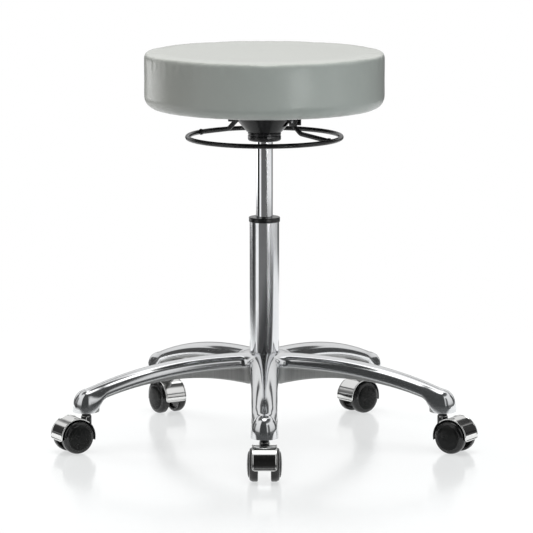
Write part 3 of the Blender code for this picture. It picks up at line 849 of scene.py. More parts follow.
# ---------------------------------------------------------------- base
@dataclass
class BaseCasting:
    """Polished five-leg casting: one skin folded round each leg, with hub sleeve and domed stem bosses."""

    stem_circle: float = 0.3156
    hub_top: float = 0.1522
    hub_depth: float = 0.052
    bore: float = 0.0253
    start: float = 0.030
    drop: float = 0.0478
    curve: float = 2.45
    wide: float = 0.0515
    narrow: float = 0.0415
    bead: float = 0.018
    deep: float = 0.052
    shallow: float = 0.0235
    ledge: float = 0.0022
    wall: float = 0.004
    crotch: float = 0.012
    boss_r: float = 0.0229
    boss_low: float = 0.0668
    lip: float = 0.0028
    boss_tall: float = 0.0335
    skirt_top: float = 0.0862
    hub_skin: float = 0.0273
    skirt_r: float = 0.0223
    socket_r: float = 0.0058
    socket_top: float = 0.0963
    tip_share: float = 0.18
    leg_share: float = 0.80
    columns: int = 80
    rows: List[Tuple[Part, float, float]] = field(default_factory=list)

    def __post_init__(self) -> None:
        """List the lines of the skin from the crown over the edge and back under the roof."""
        web = self.ledge
        inner = web + self.wall
        for i in range(19):
            self.rows.append((Part.BEAD, math.pi / 2 * i / 18, 0.0))
        self.rows += [(Part.LIP, 0.0, 0.0007), (Part.LIP, 0.0006, 0.0015), (Part.LIP, web * 0.8, 0.0021),
                      (Part.LIP, web, self.lip)]
        for share in (0.12, 0.35, 0.6, 0.82, 0.94):
            self.rows.append((Part.WEB, web, share))
        self.rows += [(Part.WEB, web + 0.0004, 0.985), (Part.WEB, web + 0.0012, 1.0),
                      (Part.WEB, inner - 0.0008, 1.0)]
        for share in (0.96, 0.6, 0.25):
            self.rows.append((Part.WALL, inner, share))
        for i in range(8):
            self.rows.append((Part.ROOF, math.pi / 2 * (1 - i / 7), inner))

    def share(self, rho: float) -> float:
        """Share of the leg's length at a distance from the axis."""
        return max(0.0, (rho - self.start) / (self.stem_circle - self.start))

    def half_width(self, rho: float) -> float:
        """Half the width of a leg at a distance from the axis."""
        return (self.wide + (self.narrow - self.wide) * self.share(rho)) / 2

    def tip(self, rho: float) -> float:
        """Ease from 0 on the leg to 1 where it has become the boss."""
        return smoothstep(self.stem_circle - 0.032, self.stem_circle - 0.003, rho)

    def crown(self, rho: float) -> float:
        """Height of the top line, easing off past the stem."""
        here = min(rho, self.stem_circle - 0.004)
        fall = self.drop * self.share(here) ** self.curve
        return self.hub_top - 0.0004 - fall - 0.20 * (rho - here)

    def depth(self, rho: float) -> float:
        """Depth of the polished bead, which grows down to the boss's lower edge at the tip."""
        full = self.crown(rho) - self.boss_low - GAP
        return self.bead + (full - self.bead) * self.tip(rho)

    def lower(self, rho: float) -> float:
        """Height of the leg's lower edge."""
        left = max(0.0, 1.0 - self.share(rho))
        plain = self.crown(rho) - self.shallow - (self.deep - self.shallow) * left ** 3
        return min(plain, self.crown(rho) - self.depth(rho) - 0.0034)

    def arch(self, rho: float, share: float) -> float:
        """Height of the bead's section at a share of its half width, as a part of its depth."""
        power = 2.25 + 0.45 * self.tip(rho)
        return max(0.0, 1.0 - share ** power) ** (1.0 / power)

    def column(self, share: float) -> Tuple[Vector, Vector, Vector]:
        """Outline point, inner point and outward normal of one column of the half leg.

        Args:
            share: 0 at the end of the tip, 1 on the line halfway to the next leg.

        Returns:
            Three level vectors in the leg's own axes.
        """
        fifth = math.radians(36.0)
        stem = Vector((self.stem_circle, 0.0, 0.0))
        if share < self.tip_share:
            ray = level(math.pi / 2 * share / self.tip_share)
            return stem + ray * self.boss_r, stem, ray
        reach = 0.0
        for _ in range(6):
            reach = (self.half_width(reach * math.cos(fifth)) + self.crotch) / math.sin(fifth)
        turn_in = reach * math.cos(fifth)
        if share <= self.leg_share:
            t = (share - self.tip_share) / (self.leg_share - self.tip_share)
            rho = self.stem_circle + (turn_in - self.stem_circle) * t
            flare = self.boss_r - self.half_width(self.stem_circle)
            half = self.half_width(rho) + flare * self.tip(rho)
            inner = self.stem_circle + (self.hub_skin - self.stem_circle) * t
            return Vector((rho, half, 0.0)), Vector((inner, 0.0, 0.0)), Vector((0.0, 1.0, 0.0))
        t = (share - self.leg_share) / (1.0 - self.leg_share)
        centre = level(fifth) * reach
        ray = level(-math.pi / 2 - (math.pi / 2 - fifth) * t)
        return centre + ray * self.crotch, level(fifth * t) * self.hub_skin, -ray

    def point(self, share: float, row: int) -> Vector:
        """One point of the half leg's skin.

        Args:
            share: Share along the columns.
            row: Line of the skin.

        Returns:
            The point in the leg's own axes.
        """
        part, a, b = self.rows[row]
        outer, inner, normal = self.column(share)
        if part is Part.BEAD:
            place = inner.lerp(outer, math.sin(a))
            high, deep = self.crown(place.x), self.depth(place.x)
            place.z = high - deep + deep * self.arch(place.x, math.sin(a))
        elif part is Part.LIP:
            place = outer - normal * a
            place.z = self.crown(outer.x) - self.depth(outer.x) - b
        elif part is Part.ROOF:
            place = inner.lerp(outer - normal * b, math.sin(a))
            deep = self.depth(place.x)
            rise = (deep - self.wall - 0.001) * self.arch(place.x, math.sin(a))
            place.z = self.crown(place.x) - deep + rise
        else:
            place = outer - normal * a
            high = self.crown(outer.x) - self.depth(outer.x) - self.lip
            place.z = high + (self.lower(outer.x) - high) * b
        if inner.y == 0.0 and part in (Part.BEAD, Part.ROOF) and a == 0.0:
            place.y = 0.0
        lift = {Part.WALL: 0.0012, Part.ROOF: 0.0024}.get(part, 0.0)
        place.z = max(place.z, self.boss_low + GAP + lift)
        return place

    def build_skin(self) -> Thing:
        """Model half a leg, mirror it, repeat it round the hub and close it.

        Returns:
            The closed star.
        """
        half = Bench.grid("base_skin", self.columns, len(self.rows), self.point)
        paint(half, POLISHED, CAST)
        across = len(half.data.vertices) // len(self.rows)
        cast_from = sum(1 for part, _, _ in self.rows if part in (Part.BEAD, Part.LIP)) - 1
        for face in half.data.polygons:
            face.material_index = int(min(face.vertices) // across >= cast_from)
        Bench.modify(half, "MIRROR", use_axis=(False, True, False), use_mirror_merge=True, merge_threshold=0.00001)
        legs = [half] + [Bench.copy(half, "base_leg") for _ in range(4)]
        for thing, leg in zip(legs, Leg):
            Bench.settle(thing, Matrix.Rotation(leg.heading, 4, "Z"))
        skin = Bench.join("base_skin", *legs)
        Bench.weld(skin, 0.00002)
        Bench.close(skin, lambda p: math.hypot(p.x, p.y) < 0.03, bridge=True)
        Bench.close(skin, lambda p: math.hypot(p.x, p.y) > 0.2)
        Bench.tidy(skin)
        return skin

    def boss(self) -> Thing:
        """Model the core of one stem boss: domed core with its socket, half skirt and rib under the leg.

        Returns:
            The closed core with the stem on the Z axis and the leg's tip toward +X.
        """
        low, r, tall = self.boss_low, self.skirt_r, self.boss_tall
        shares = [math.sin(math.pi / 2 * i / 14) for i in range(14)]
        dome = [(r * share, low + tall * self.arch(1.0, share)) for share in shares]
        core = Bench.lathe("base_boss", dome + rounded([
            (r, low + 0.004, 0), (r, low, 0.0014), (self.socket_r, low, 0.0006),
            (self.socket_r, self.socket_top, 0), (0.0, self.socket_top, 0)], 5), 64)
        skirt = Bench.lathe("boss_skirt", rounded([
            (0.0, self.skirt_top, 0), (r, self.skirt_top, 0.001), (r, low + 0.0001, 0.0014),
            (0.0, low + 0.0001, 0)], 5), 56)
        Bench.combine(skirt, Bench.block("boss_cut", (0.06, 0.06, 0.06), (0.021, 0.0, 0.08)), "DIFFERENCE")
        rib = Bench.block("boss_rib", (0.0120, 0.0262, 0.020), (-0.0150, 0.0, 0.0890))
        for thing in (core, skirt, rib):
            paint(thing, POLISHED, CAST)
            for face in thing.data.polygons:
                face.material_index = 1
        Bench.combine(core, skirt)
        Bench.combine(core, rib)
        return core

    def build(self) -> None:
        """Join skin, sleeve and bosses into the casting."""
        skin = self.build_skin()
        low = self.hub_top - self.hub_depth
        sleeve = Bench.lathe("base_sleeve", rounded([
            (self.bore, self.hub_top, 0.0005), (self.bore + 0.0036, self.hub_top, 0.0012),
            (self.bore + 0.0075, self.hub_top - 0.006, 0), (self.bore + 0.0075, low, 0.001),
            (self.bore - 0.0007, low, 0.0005)], 5, ring=True), 96)
        paint(sleeve, POLISHED, CAST)
        first = self.boss()
        solids = [sleeve]
        for leg in Leg:
            thing = Bench.copy(first, "base_boss_" + leg.tag)
            turn = Matrix.Rotation(leg.heading, 4, "Z")
            solids.append(Bench.settle(thing, Matrix.Translation(level(leg.heading) * self.stem_circle) @ turn))
        Bench.remove(first)
        Bench.join("base_star", skin, *solids)
        Bench.smooth(skin, 34.0)
        hand_over(skin, "base", "polished_casting", "base_casting")


# ---------------------------------------------------------------- casters
@dataclass
class Casters:
    """Five hooded twin-wheel casters: plated cover, black body, neck ring and two wheels each."""

    stem_circle: float = 0.3156
    wheel_r: float = 0.028
    wheel_in: float = 0.0105
    wheel_out: float = 0.0285
    trail: float = 0.025
    hood_r: float = 0.0322
    hood_wall: float = 0.0022
    hood_w: float = 0.041
    back: float = 188.0
    lead: float = -12.0
    cover_end: float = 50.0
    border: float = 0.0022
    sunk: float = 0.0006
    web_half: float = 0.0088
    neck_h: float = 0.0066
    neck_r: float = 0.0078
    stem_r: float = 0.0055
    axle_r: float = 0.003
    fine: float = 0.007
    corner: float = 0.0045

    def cover_point(self, share: float, row: int, loop: Sequence[Pair]) -> Vector:
        """One point of the hood's shell.

        Args:
            share: 0 at the trailing lip, 1 at the leading tip.
            row: Point of the wall's section.
            loop: Section of the wall as (depth, across).

        Returns:
            The point in the caster's own axes.
        """
        length = math.radians(self.back - self.lead) * self.hood_r
        from_end = self.fine * share / 0.2
        if share >= 0.2:
            from_end = self.fine + (length - self.fine) * (share - 0.2) / 0.8
        turn = math.radians(self.back) - from_end / self.hood_r
        depth, across = loop[row]
        pinch = 0.0
        if from_end < self.corner:
            pinch = self.corner - math.sqrt(max(0.0, self.corner ** 2 - (self.corner - from_end) ** 2))
        y = across * (1.0 - pinch / (self.hood_w / 2))
        covered = smoothstep(0.0016, 0.0030, from_end)
        covered *= smoothstep(self.cover_end, self.cover_end + 3.0, math.degrees(turn))
        if -self.sunk - 0.00001 < depth < -0.00001 and abs(across) < self.hood_w / 2 - self.border:
            depth *= covered
        taper = 0.5 * self.hood_wall * (1.0 - smoothstep(0.0, 0.012, length - from_end))
        radius = self.hood_r + depth + (taper if depth < -0.0012 else 0.0)
        return Vector((-self.trail + radius * math.cos(turn), y, self.wheel_r + radius * math.sin(turn)))

    def hood(self) -> Thing:
        """Model one hood: swept shell, web between the wheels and stem housing.

        Returns:
            The hood with its stem on the Z axis.
        """
        half, wall, soft = self.hood_w / 2, self.hood_wall, 0.0010
        field_half = half - self.border - 0.0005
        across = [(-self.sunk, field_half * k / 4) for k in range(-4, 5)]
        rim = [(0.0, half - self.border + 0.0004), (0.0, half - 0.0009)]
        loop = [(0.0, -y) for _, y in reversed(rim)] + across + rim
        loop += rounded([(0.0, 0.0, 0), (0.0, half, soft), (-wall, half, soft * 0.8), (-wall, -half, soft * 0.8),
                         (0.0, -half, soft), (0.0, 0.0, 0)], 5)[1:-1]
        loop.append(loop[0])
        shell = Bench.grid("hood_shell", 84, len(loop), lambda share, row: self.cover_point(share, row, loop))
        Bench.weld(shell)
        Bench.close(shell, lambda p: True)
        Bench.tidy(shell)
        ax = -self.trail
        outline = arc((ax, self.wheel_r), self.hood_r - 0.0012, 176, -4, 26)
        outline += [(ax + 0.024, self.wheel_r - 0.0062), (ax + 0.012, self.wheel_r - 0.0045),
                    (ax + 0.008, self.wheel_r - 0.0075), (ax - 0.008, self.wheel_r - 0.0075),
                    (ax - 0.012, self.wheel_r - 0.003)]
        web = Bench.slab("hood_web", outline, self.web_half * 2)
        high, bore = self.wheel_r + self.hood_r, self.stem_r + GAP
        house = Bench.lathe("hood_house", rounded([
            (bore, high, 0.0004), (self.web_half, high, 0.001), (self.web_half, self.wheel_r + 0.003, 0.001),
            (bore, self.wheel_r + 0.003, 0)], 4, ring=True), 48)
        for thing in (shell, web, house):
            paint(thing, PLATED_HOOD, NYLON_BLACK)
        Bench.combine(web, house)
        Bench.combine(web, Bench.rod("hood_bore", bore, high + 0.01, high - 0.0203, 40), "DIFFERENCE")
        Bench.combine(shell, web)
        pin = Bench.rod("hood_axle_hole", self.axle_r + GAP, 0.03, -0.03, 32)
        turn = Matrix.Rotation(math.pi / 2, 4, "X")
        Bench.settle(pin, Matrix.Translation((ax, 0.0, self.wheel_r)) @ turn)
        Bench.combine(shell, pin, "DIFFERENCE")
        for face in shell.data.polygons:
            c = face.center
            dx, dz = c.x - ax, c.z - self.wheel_r
            radius = math.hypot(dx, dz)
            angle = math.degrees(math.atan2(dz, dx)) % 360.0
            outside = face.normal.x * dx + face.normal.z * dz > -0.3 * radius
            covered = self.cover_end < angle < 200.0 and radius > self.hood_r - wall - 0.0001
            face.material_index = 0 if covered and outside else 1
        Bench.smooth(shell, 30.0)
        return shell

    def wheel(self) -> Thing:
        """Turn one wheel: crowned tread, stepped disc and bored hub.

        Returns:
            The wheel about Z, outer face up.
        """
        r, face, inside = self.wheel_r, self.wheel_out, self.wheel_in
        bore = self.axle_r + GAP
        plug = face - 0.0045 + GAP
        corners = [(0.0, face, 0), (r * 0.30, face - 0.0003, 0.004), (r * 0.60, face - 0.0012, 0.008),
                   (r * 0.745, face - 0.0024, 0.0012), (r * 0.765, face - 0.0036, 0.0005),
                   (r * 0.80, face - 0.0037, 0.0008), (r * 0.93, face - 0.0049, 0.003), (r, face - 0.0092, 0.004),
                   (r, inside, 0.0022), (r * 0.80, inside, 0.001), (r * 0.78, inside + 0.004, 0.001),
                   (r * 0.36, inside + 0.004, 0.001), (r * 0.34, inside, 0.0008), (bore, inside, 0.0004),
                   (bore, plug, 0), (0.0, plug, 0)]
        made = Bench.lathe("wheel", rounded(corners, 6), 72)
        paint(made, WHEEL_RIM, WHEEL_DISC)
        for face_ in made.data.polygons:
            c = face_.center
            made_of_disc = math.hypot(c.x, c.y) < r * 0.755 and c.z > plug + 0.0001
            face_.material_index = 1 if made_of_disc else 0
        Bench.smooth(made, 40.0)
        return made

    def neck(self) -> Thing:
        """Turn one neck ring with its two soft shoulders.

        Returns:
            The ring on the Z axis.
        """
        low = self.wheel_r + self.hood_r + GAP
        high = low + self.neck_h - 2 * GAP
        bore = self.stem_r + GAP
        ring = rounded([(bore, high, 0), (self.neck_r, high, 0.0007), (self.neck_r, high - 0.0019, 0.0004),
                        (self.neck_r - 0.0006, high - 0.0024, 0.0004), (self.neck_r - 0.0006, low + 0.0018, 0.0004),
                        (self.neck_r, low + 0.0013, 0.0004), (self.neck_r, low, 0.0005), (bore, low, 0)], 4, True)
        made = Bench.lathe("neck", ring, 48)
        paint(made, GLOSS_BLACK)
        Bench.smooth(made, 40.0)
        return made

    def build(self) -> None:
        """Model each piece once and set it under every leg."""
        hood, wheel, neck = self.hood(), self.wheel(), self.neck()
        for leg in Leg:
            stem = Matrix.Translation(level(leg.heading) * self.stem_circle)
            turned = stem @ Matrix.Rotation(leg.trail + math.pi, 4, "Z")
            cover = Bench.settle(Bench.copy(hood, "caster_hood_" + leg.tag), turned)
            hand_over(cover, "caster_" + leg.tag, "chrome_hood", "hood_" + leg.tag)
            ring = Bench.settle(Bench.copy(neck, "caster_neck_" + leg.tag), stem)
            hand_over(ring, "base", "black_nylon", "neck_ring_" + leg.tag)
            axle = turned @ Matrix.Translation((-self.trail, 0.0, self.wheel_r))
            for key, sign in (("a", 1.0), ("b", -1.0)):
                place = axle @ Matrix.Rotation(sign * math.pi / 2, 4, "X")
                name = "wheel_%s_%s" % (leg.tag, key)
                disc = Bench.settle(Bench.copy(wheel, "caster_" + name), place)
                hand_over(disc, name, "black_wheel", name)
            redress(ZINC, "stem_" + leg.tag, "axle_" + leg.tag)
        Bench.remove(hood, wheel, neck)


# ---------------------------------------------------------------- column
@dataclass
class GasLift:
    """Column tube, black guide bush and the plated gas cylinder."""

    column_r: float = 0.025
    column_wall: float = 0.002
    column_top: float = 0.380
    column_low: float = 0.0997
    hub_top: float = 0.1522
    taper: float = 0.0007
    rod_hole: float = 0.0058
    bush_depth: float = 0.072
    rim_r: float = 0.0264
    rim_h: float = 0.0042
    rim_skirt: float = 0.0038
    cyl_r: float = 0.014
    cyl_wall: float = 0.002
    cyl_top: float = 0.5465
    cyl_low: float = 0.248
    cyl_taper: float = 0.0008
    valve_bore: float = 0.0038

    def build(self) -> None:
        """Turn the visible tubes and dress the hidden parts."""
        inside = self.column_r - self.column_wall
        floor = self.column_low + 0.007
        tube = Bench.lathe("column_sleeve", rounded([
            (inside, self.column_top, 0), (self.column_r, self.column_top, 0.0005), (self.column_r, self.hub_top, 0),
            (self.column_r - self.taper, self.column_low, 0.001), (self.rod_hole, self.column_low, 0.0005),
            (self.rod_hole, floor, 0), (inside, floor, 0)], 4, ring=True), 128)
        complete(tube, PLATED_TUBE, 40.0, "base", "chrome_tube", "column_tube")

        bore = self.cyl_r + GAP
        top = self.column_top + self.rim_h
        skirt = self.column_top - self.rim_skirt
        rim = Bench.lathe("column_rim", rounded([
            (bore, top - 0.0012, 0.0004), (bore + 0.0014, top, 0.0004), (self.rim_r, top, 0.0013),
            (self.rim_r, skirt, 0.0006), (self.column_r + GAP, skirt, 0),
            (self.column_r + GAP, self.column_top + GAP, 0),
            (inside - GAP, self.column_top + GAP, 0), (inside - GAP, self.column_top - self.bush_depth, 0.001),
            (bore, self.column_top - self.bush_depth, 0.001)], 5, ring=True), 128)
        complete(rim, GLOSS_BLACK, 40.0, "base", "black_gloss", "guide_bush")

        hollow = self.cyl_r - self.cyl_wall
        cylinder = Bench.lathe("lift_cylinder", rounded([
            (self.valve_bore, self.cyl_top, 0), (self.cyl_r - self.cyl_taper, self.cyl_top, 0.001),
            (self.cyl_r, self.cyl_top - 0.032, 0), (self.cyl_r, self.cyl_low, 0.001), (hollow, self.cyl_low, 0),
            (hollow, self.cyl_top - 0.030, 0), (self.valve_bore, self.cyl_top - 0.030, 0)], 4, ring=True), 112)
        complete(cylinder, PLATED_ROD, 40.0, "seat", "chrome_tube", "gas_cylinder")
        redress(ZINC, "lower_race", "upper_race", "piston_rod", "rod_clip", "valve_pin")
        redress(NYLON_BLACK, "ball_cage", "piston_head", "cylinder_gland")


# ---------------------------------------------------------------- seat mount and lever
@dataclass
class SeatMount:
    """Satin cone with its sleeve and windows, and the black trim collar below it."""

    neck_r: float = 0.0530
    low_r: float = 0.030
    low_z: float = 0.530
    high_z: float = 0.5670
    slope: float = 0.900
    wall: float = 0.0028
    sleeve_r: float = 0.020
    collar_r: float = 0.028
    collar_h: float = 0.0157
    fit_r: float = 0.0143
    cyl_top: float = 0.5465
    arm_angle: float = math.radians(-31.0)
    arm_in: float = 0.044
    arm_z: float = 0.557
    wire_r: float = 0.004
    window_up: float = 0.0022
    window_down: float = 0.0168
    window_long: float = 0.030
    window_wide: float = 0.0125

    def build(self) -> None:
        """Turn cone and collar and cut the windows."""
        flare = self.low_z + (self.neck_r - self.low_r) / self.slope
        sleeve_low = self.low_z - self.collar_h
        top = self.cyl_top - 0.0008
        floor = self.low_z + 0.0045
        cone = Bench.lathe("mount_cone", rounded([
            (self.neck_r - self.wall, self.high_z, 0.0004), (self.neck_r, self.high_z, 0.0006),
            (self.neck_r, flare + 0.001, 0.003), (self.low_r, self.low_z, 0.0012), (self.sleeve_r, self.low_z, 0),
            (self.sleeve_r, sleeve_low, 0.0006), (self.fit_r, sleeve_low, 0.0004),
            (self.fit_r, self.cyl_top - 0.032, 0), (self.fit_r - 0.0008, top, 0.0003),
            (self.fit_r + 0.0032, top, 0.0006), (self.fit_r + 0.0032, floor, 0.001),
            (self.low_r - 0.0011, floor, 0.001), (self.neck_r - self.wall, flare + 0.001, 0.002)], 6, ring=True), 128)
        high, low = self.arm_z + self.wire_r + self.window_up, self.arm_z - self.window_down
        for sign in (1.0, -1.0):
            at = level(self.arm_angle) * (sign * (self.arm_in + 0.006))
            window = Bench.block("mount_window", (self.window_long, self.window_wide, high - low),
                                 (at.x, at.y, (high + low) / 2), self.arm_angle)
            Bench.soften(window, 0.0015, 3)
            Bench.combine(cone, window, "DIFFERENCE")
        complete(cone, MOUNT_SATIN, 32.0, "seat", "satin_mount", "seat_mount")

        inner, r, h = self.sleeve_r + GAP, self.collar_r, self.low_z - GAP
        collar = Bench.lathe("mount_trim", rounded([
            (inner, h, 0), (r, h, 0.0008), (r, h - 0.0042, 0.0004), (r - 0.0007, h - 0.0048, 0.0004),
            (r - 0.0007, h - 0.0058, 0.0004), (r, h - 0.0064, 0.0004), (r, sleeve_low, 0.005),
            (inner + 0.001, sleeve_low, 0.001), (inner, sleeve_low + 0.001, 0)], 7, ring=True), 112)
        complete(collar, GLOSS_BLACK, 40.0, "seat", "black_gloss", "mount_collar")


@dataclass
class RingLever:
    """Ring lever bent from black wire, with its two brackets and fulcrum pins."""

    ring_r: float = 0.130
    wire_r: float = 0.004
    ring_z: float = 0.5205
    arm_angle: float = math.radians(-31.0)
    bend_out: float = 0.071
    bend_in: float = 0.044
    arm_low: float = 0.530
    arm_high: float = 0.557
    pin_r: float = 0.0025
    pin_s: float = 0.059879
    pin_z: float = 0.550879
    plate_low: float = 0.5673
    fork_drop: float = 0.0075
    fork_out: float = 0.0045
    fork_in: float = 0.0008
    fork_top: float = 0.0030
    fork_long: float = 0.0145

    def along(self, s: float, across: float, z: float) -> Vector:
        """Point a distance along the arm, a distance across it, at a height."""
        u = level(self.arm_angle)
        return u * s + Vector((-u.y, u.x, 0.0)) * across + Vector((0.0, 0.0, z))

    def arm_path(self) -> List[Vector]:
        """Line of the bar from ring to ring, with rounded bends."""
        corners = [(self.ring_r, self.ring_z), (self.bend_out, self.arm_low), (self.bend_in, self.arm_high),
                   (-self.bend_in, self.arm_high), (-self.bend_out, self.arm_low), (-self.ring_r, self.ring_z)]
        flat = rounded([(s, z, 0.010) for s, z in corners], 12)
        return [self.along(s, 0.0, z) for s, z in flat]

    def build_ring(self) -> None:
        """Model ring, arms and weld beads and join them."""
        Bench.clear()
        bpy.ops.mesh.primitive_torus_add(location=(0, 0, self.ring_z), major_radius=self.ring_r,
                                         minor_radius=self.wire_r, major_segments=192, minor_segments=24)
        ring = Bench.named("lever_hoop")
        Bench.combine(ring, Bench.wire("lever_arms", self.arm_path(), self.wire_r * 0.995, 24))
        for sign in (1.0, -1.0):
            weld = Bench.lathe("lever_weld", rounded([
                (0, 0.0066, 0), (self.wire_r * 0.98, 0.0066, 0.001), (self.wire_r + 0.0010, 0.0040, 0.002),
                (self.wire_r + 0.0016, 0.0008, 0.001), (0, 0.0008, 0)], 6), 32)
            tilt = math.atan2(self.arm_low - self.ring_z, self.ring_r - self.bend_out)
            aim = (self.along(-sign, 0.0, 0.0) * math.cos(tilt) + Vector((0, 0, math.sin(tilt)))).normalized()
            place = Matrix.Translation(self.along(sign * (self.ring_r - 0.0015), 0.0, self.ring_z + 0.0003))
            Bench.settle(weld, place @ aim.to_track_quat("Z", "Y").to_matrix().to_4x4())
            Bench.combine(ring, weld)
        complete(ring, WIRE_BLACK, 38.0, "lever", "black_wire", "lever_ring")

    def build_bracket(self, side: Side) -> None:
        """Extrude the forked bracket at one end of the bar from its outline and turn its pin."""
        tag, sign = side.value
        high, low = self.plate_low - GAP, self.pin_z - self.fork_drop
        outer, gap, step = self.wire_r + self.fork_out, self.wire_r + self.fork_in, high - self.fork_top
        outline = [(-outer, low), (-gap, low), (-gap, step), (gap, step), (gap, low), (outer, low),
                   (outer, high), (-outer, high)]
        made = Bench.slab("lever_fork_" + tag, outline, self.fork_long)
        Bench.soften(made, 0.0009, 3)
        hole = Bench.rod("fork_hole", self.pin_r + GAP, 0.02, -0.02, 32)
        place = Matrix.Translation(self.along(sign * self.pin_s, 0.0, self.pin_z))
        upright = Matrix.Rotation(self.arm_angle, 4, "Z") @ Matrix.Rotation(math.pi / 2, 4, "X")
        stand = Matrix.Translation(self.along(sign * (self.pin_s + 0.0003), 0.0, 0.0))
        Bench.settle(made, stand @ Matrix.Rotation(self.arm_angle + math.pi / 2, 4, "Z"))
        Bench.combine(made, Bench.settle(hole, place @ upright), "DIFFERENCE")
        complete(made, WIRE_BLACK, 34.0, "seat", "black_wire", "lever_bracket_" + tag)
        half = outer + 0.0012
        pin = Bench.lathe("lever_rivet_" + tag, rounded([
            (0, half + 0.0004, 0), (self.pin_r * 0.6, half + 0.0003, 0.0008), (self.pin_r, half - 0.0002, 0.0006),
            (self.pin_r, -half + 0.0002, 0.0006), (self.pin_r * 0.6, -half - 0.0003, 0.0008),
            (0, -half - 0.0004, 0)], 5), 40)
        Bench.settle(pin, place @ upright)
        complete(pin, ZINC, 38.0, "seat", "steel", "lever_pin_" + tag)

    def build(self) -> None:
        """Build the ring and both brackets."""
        self.build_ring()
        for side in Side:
            self.build_bracket(side)


# ---------------------------------------------------------------- seat
@dataclass
class SeatUnderside:
    """Bolted seat plate, dust cloth with its staples, and the board above."""

    plate_side: float = 0.158
    plate_low: float = 0.5673
    plate_thick: float = 0.003
    corner: float = 0.020
    bolt_pitch: float = 0.130
    bolt_r: float = 0.003
    head_r: float = 0.0058
    board_r: float = 0.1765
    board_high: float = 0.5839
    cover_low: float = 0.5706
    staples: int = 34

    def build_plate(self) -> None:
        """Cut the plate from a plane: rounded corners, thickness and soft edges."""
        Bench.clear()
        bpy.ops.mesh.primitive_plane_add(size=self.plate_side, location=(0, 0, self.plate_low + self.plate_thick))
        made = Bench.named("seat_bracket_plate")
        with Bench.editing(made):
            bpy.ops.mesh.bevel(offset=self.corner, segments=12, affect="VERTICES")
            bpy.ops.mesh.select_all(action="SELECT")
            bpy.ops.mesh.extrude_region_move(TRANSFORM_OT_translate={"value": (0, 0, -self.plate_thick)})
        Bench.tidy(made)
        Bench.soften(made, 0.0006, 2, 60.0)
        complete(made, ZINC, 34.0, "seat", "steel", "seat_plate")

    def build_bolts(self) -> None:
        """Model one hexagon bolt with washer and copy it to the four corners."""
        seat_z = self.plate_low - GAP
        washer = seat_z - 0.0008
        head_low = seat_z - 0.004
        Bench.clear()
        bpy.ops.mesh.primitive_cylinder_add(vertices=6, radius=self.head_r, depth=washer - head_low,
                                            location=(0, 0, (washer + head_low) / 2))
        head = Bench.named("bolt_head")
        trim = Bench.lathe("bolt_trim", rounded([
            (0, washer + 0.001, 0), (self.head_r * 1.3, washer + 0.001, 0),
            (self.head_r * 1.16, head_low + 0.0012, 0), (self.head_r * 0.90, head_low, 0.0002),
            (0, head_low, 0)], 4), 60)
        Bench.combine(head, trim, "INTERSECT")
        shank = Bench.lathe("bolt_shank", rounded([
            (0, self.board_high - 0.001, 0), (self.bolt_r, self.board_high - 0.001, 0.0006), (self.bolt_r, seat_z, 0),
            (self.head_r * 1.2, seat_z, 0.0002), (self.head_r * 1.2, washer, 0.0002), (self.bolt_r, washer, 0),
            (self.bolt_r, washer - 0.001, 0), (0, washer - 0.001, 0)], 4), 48)
        Bench.combine(head, shank)
        paint(head, ZINC)
        Bench.smooth(head, 30.0)
        for k, (sx, sy) in enumerate(((1, 1), (-1, 1), (-1, -1), (1, -1))):
            at = Matrix.Translation((sx * self.bolt_pitch / 2, sy * self.bolt_pitch / 2, 0))
            turn = Matrix.Rotation(0.4 * k, 4, "Z")
            bolt = Bench.settle(Bench.copy(head, "seat_screw_%d" % (k + 1)), at @ turn)
            hand_over(bolt, "seat", "steel", "seat_bolt_%d" % (k + 1))
        Bench.remove(head)

    def build_cloth(self) -> None:
        """Turn the dust cloth with its folded hem and set a ring of staples in it."""
        r, low = self.board_r - 0.001, self.cover_low
        cloth = Bench.lathe("seat_dust_cloth", rounded([
            (0, low + 0.0010, 0), (r, low + 0.0010, 0.0003), (r, low - 0.0001, 0.0004),
            (r - 0.009, low - 0.0001, 0.0004), (r - 0.0096, low + 0.0003, 0.0004),
            (0.10, low, 0), (0, low, 0)], 4), 120)
        complete(cloth, DUST_CLOTH, 40.0, "seat", "dust_cloth", "dust_cover")
        first = Bench.block("staple", (0.0011, 0.0100, 0.0006), (0.0, 0.0, 0.0))
        with Bench.editing(first, "EDGE"):
            bpy.ops.mesh.bevel(offset=0.0002, segments=1, affect="EDGES")
        made: List[Thing] = []
        for k in range(self.staples):
            turn = math.tau * k / self.staples + 0.05 * math.sin(k * 2.4)
            place = Matrix.Translation(level(turn) * (r - 0.0052) + Vector((0, 0, low - 0.0004)))
            lean = Matrix.Rotation(turn + 0.35 * math.sin(k * 1.7), 4, "Z")
            made.append(Bench.settle(Bench.copy(first, "staple"), place @ lean))
        Bench.remove(first)
        ring = Bench.join("seat_staples", *made)
        paint(ring, ZINC)
        hand_over(ring, "seat", "steel")

    def build(self) -> None:
        """Build all that shows under the seat."""
        self.build_plate()
        self.build_bolts()
        self.build_cloth()
        redress(BOARD_PLY, "seat_board")


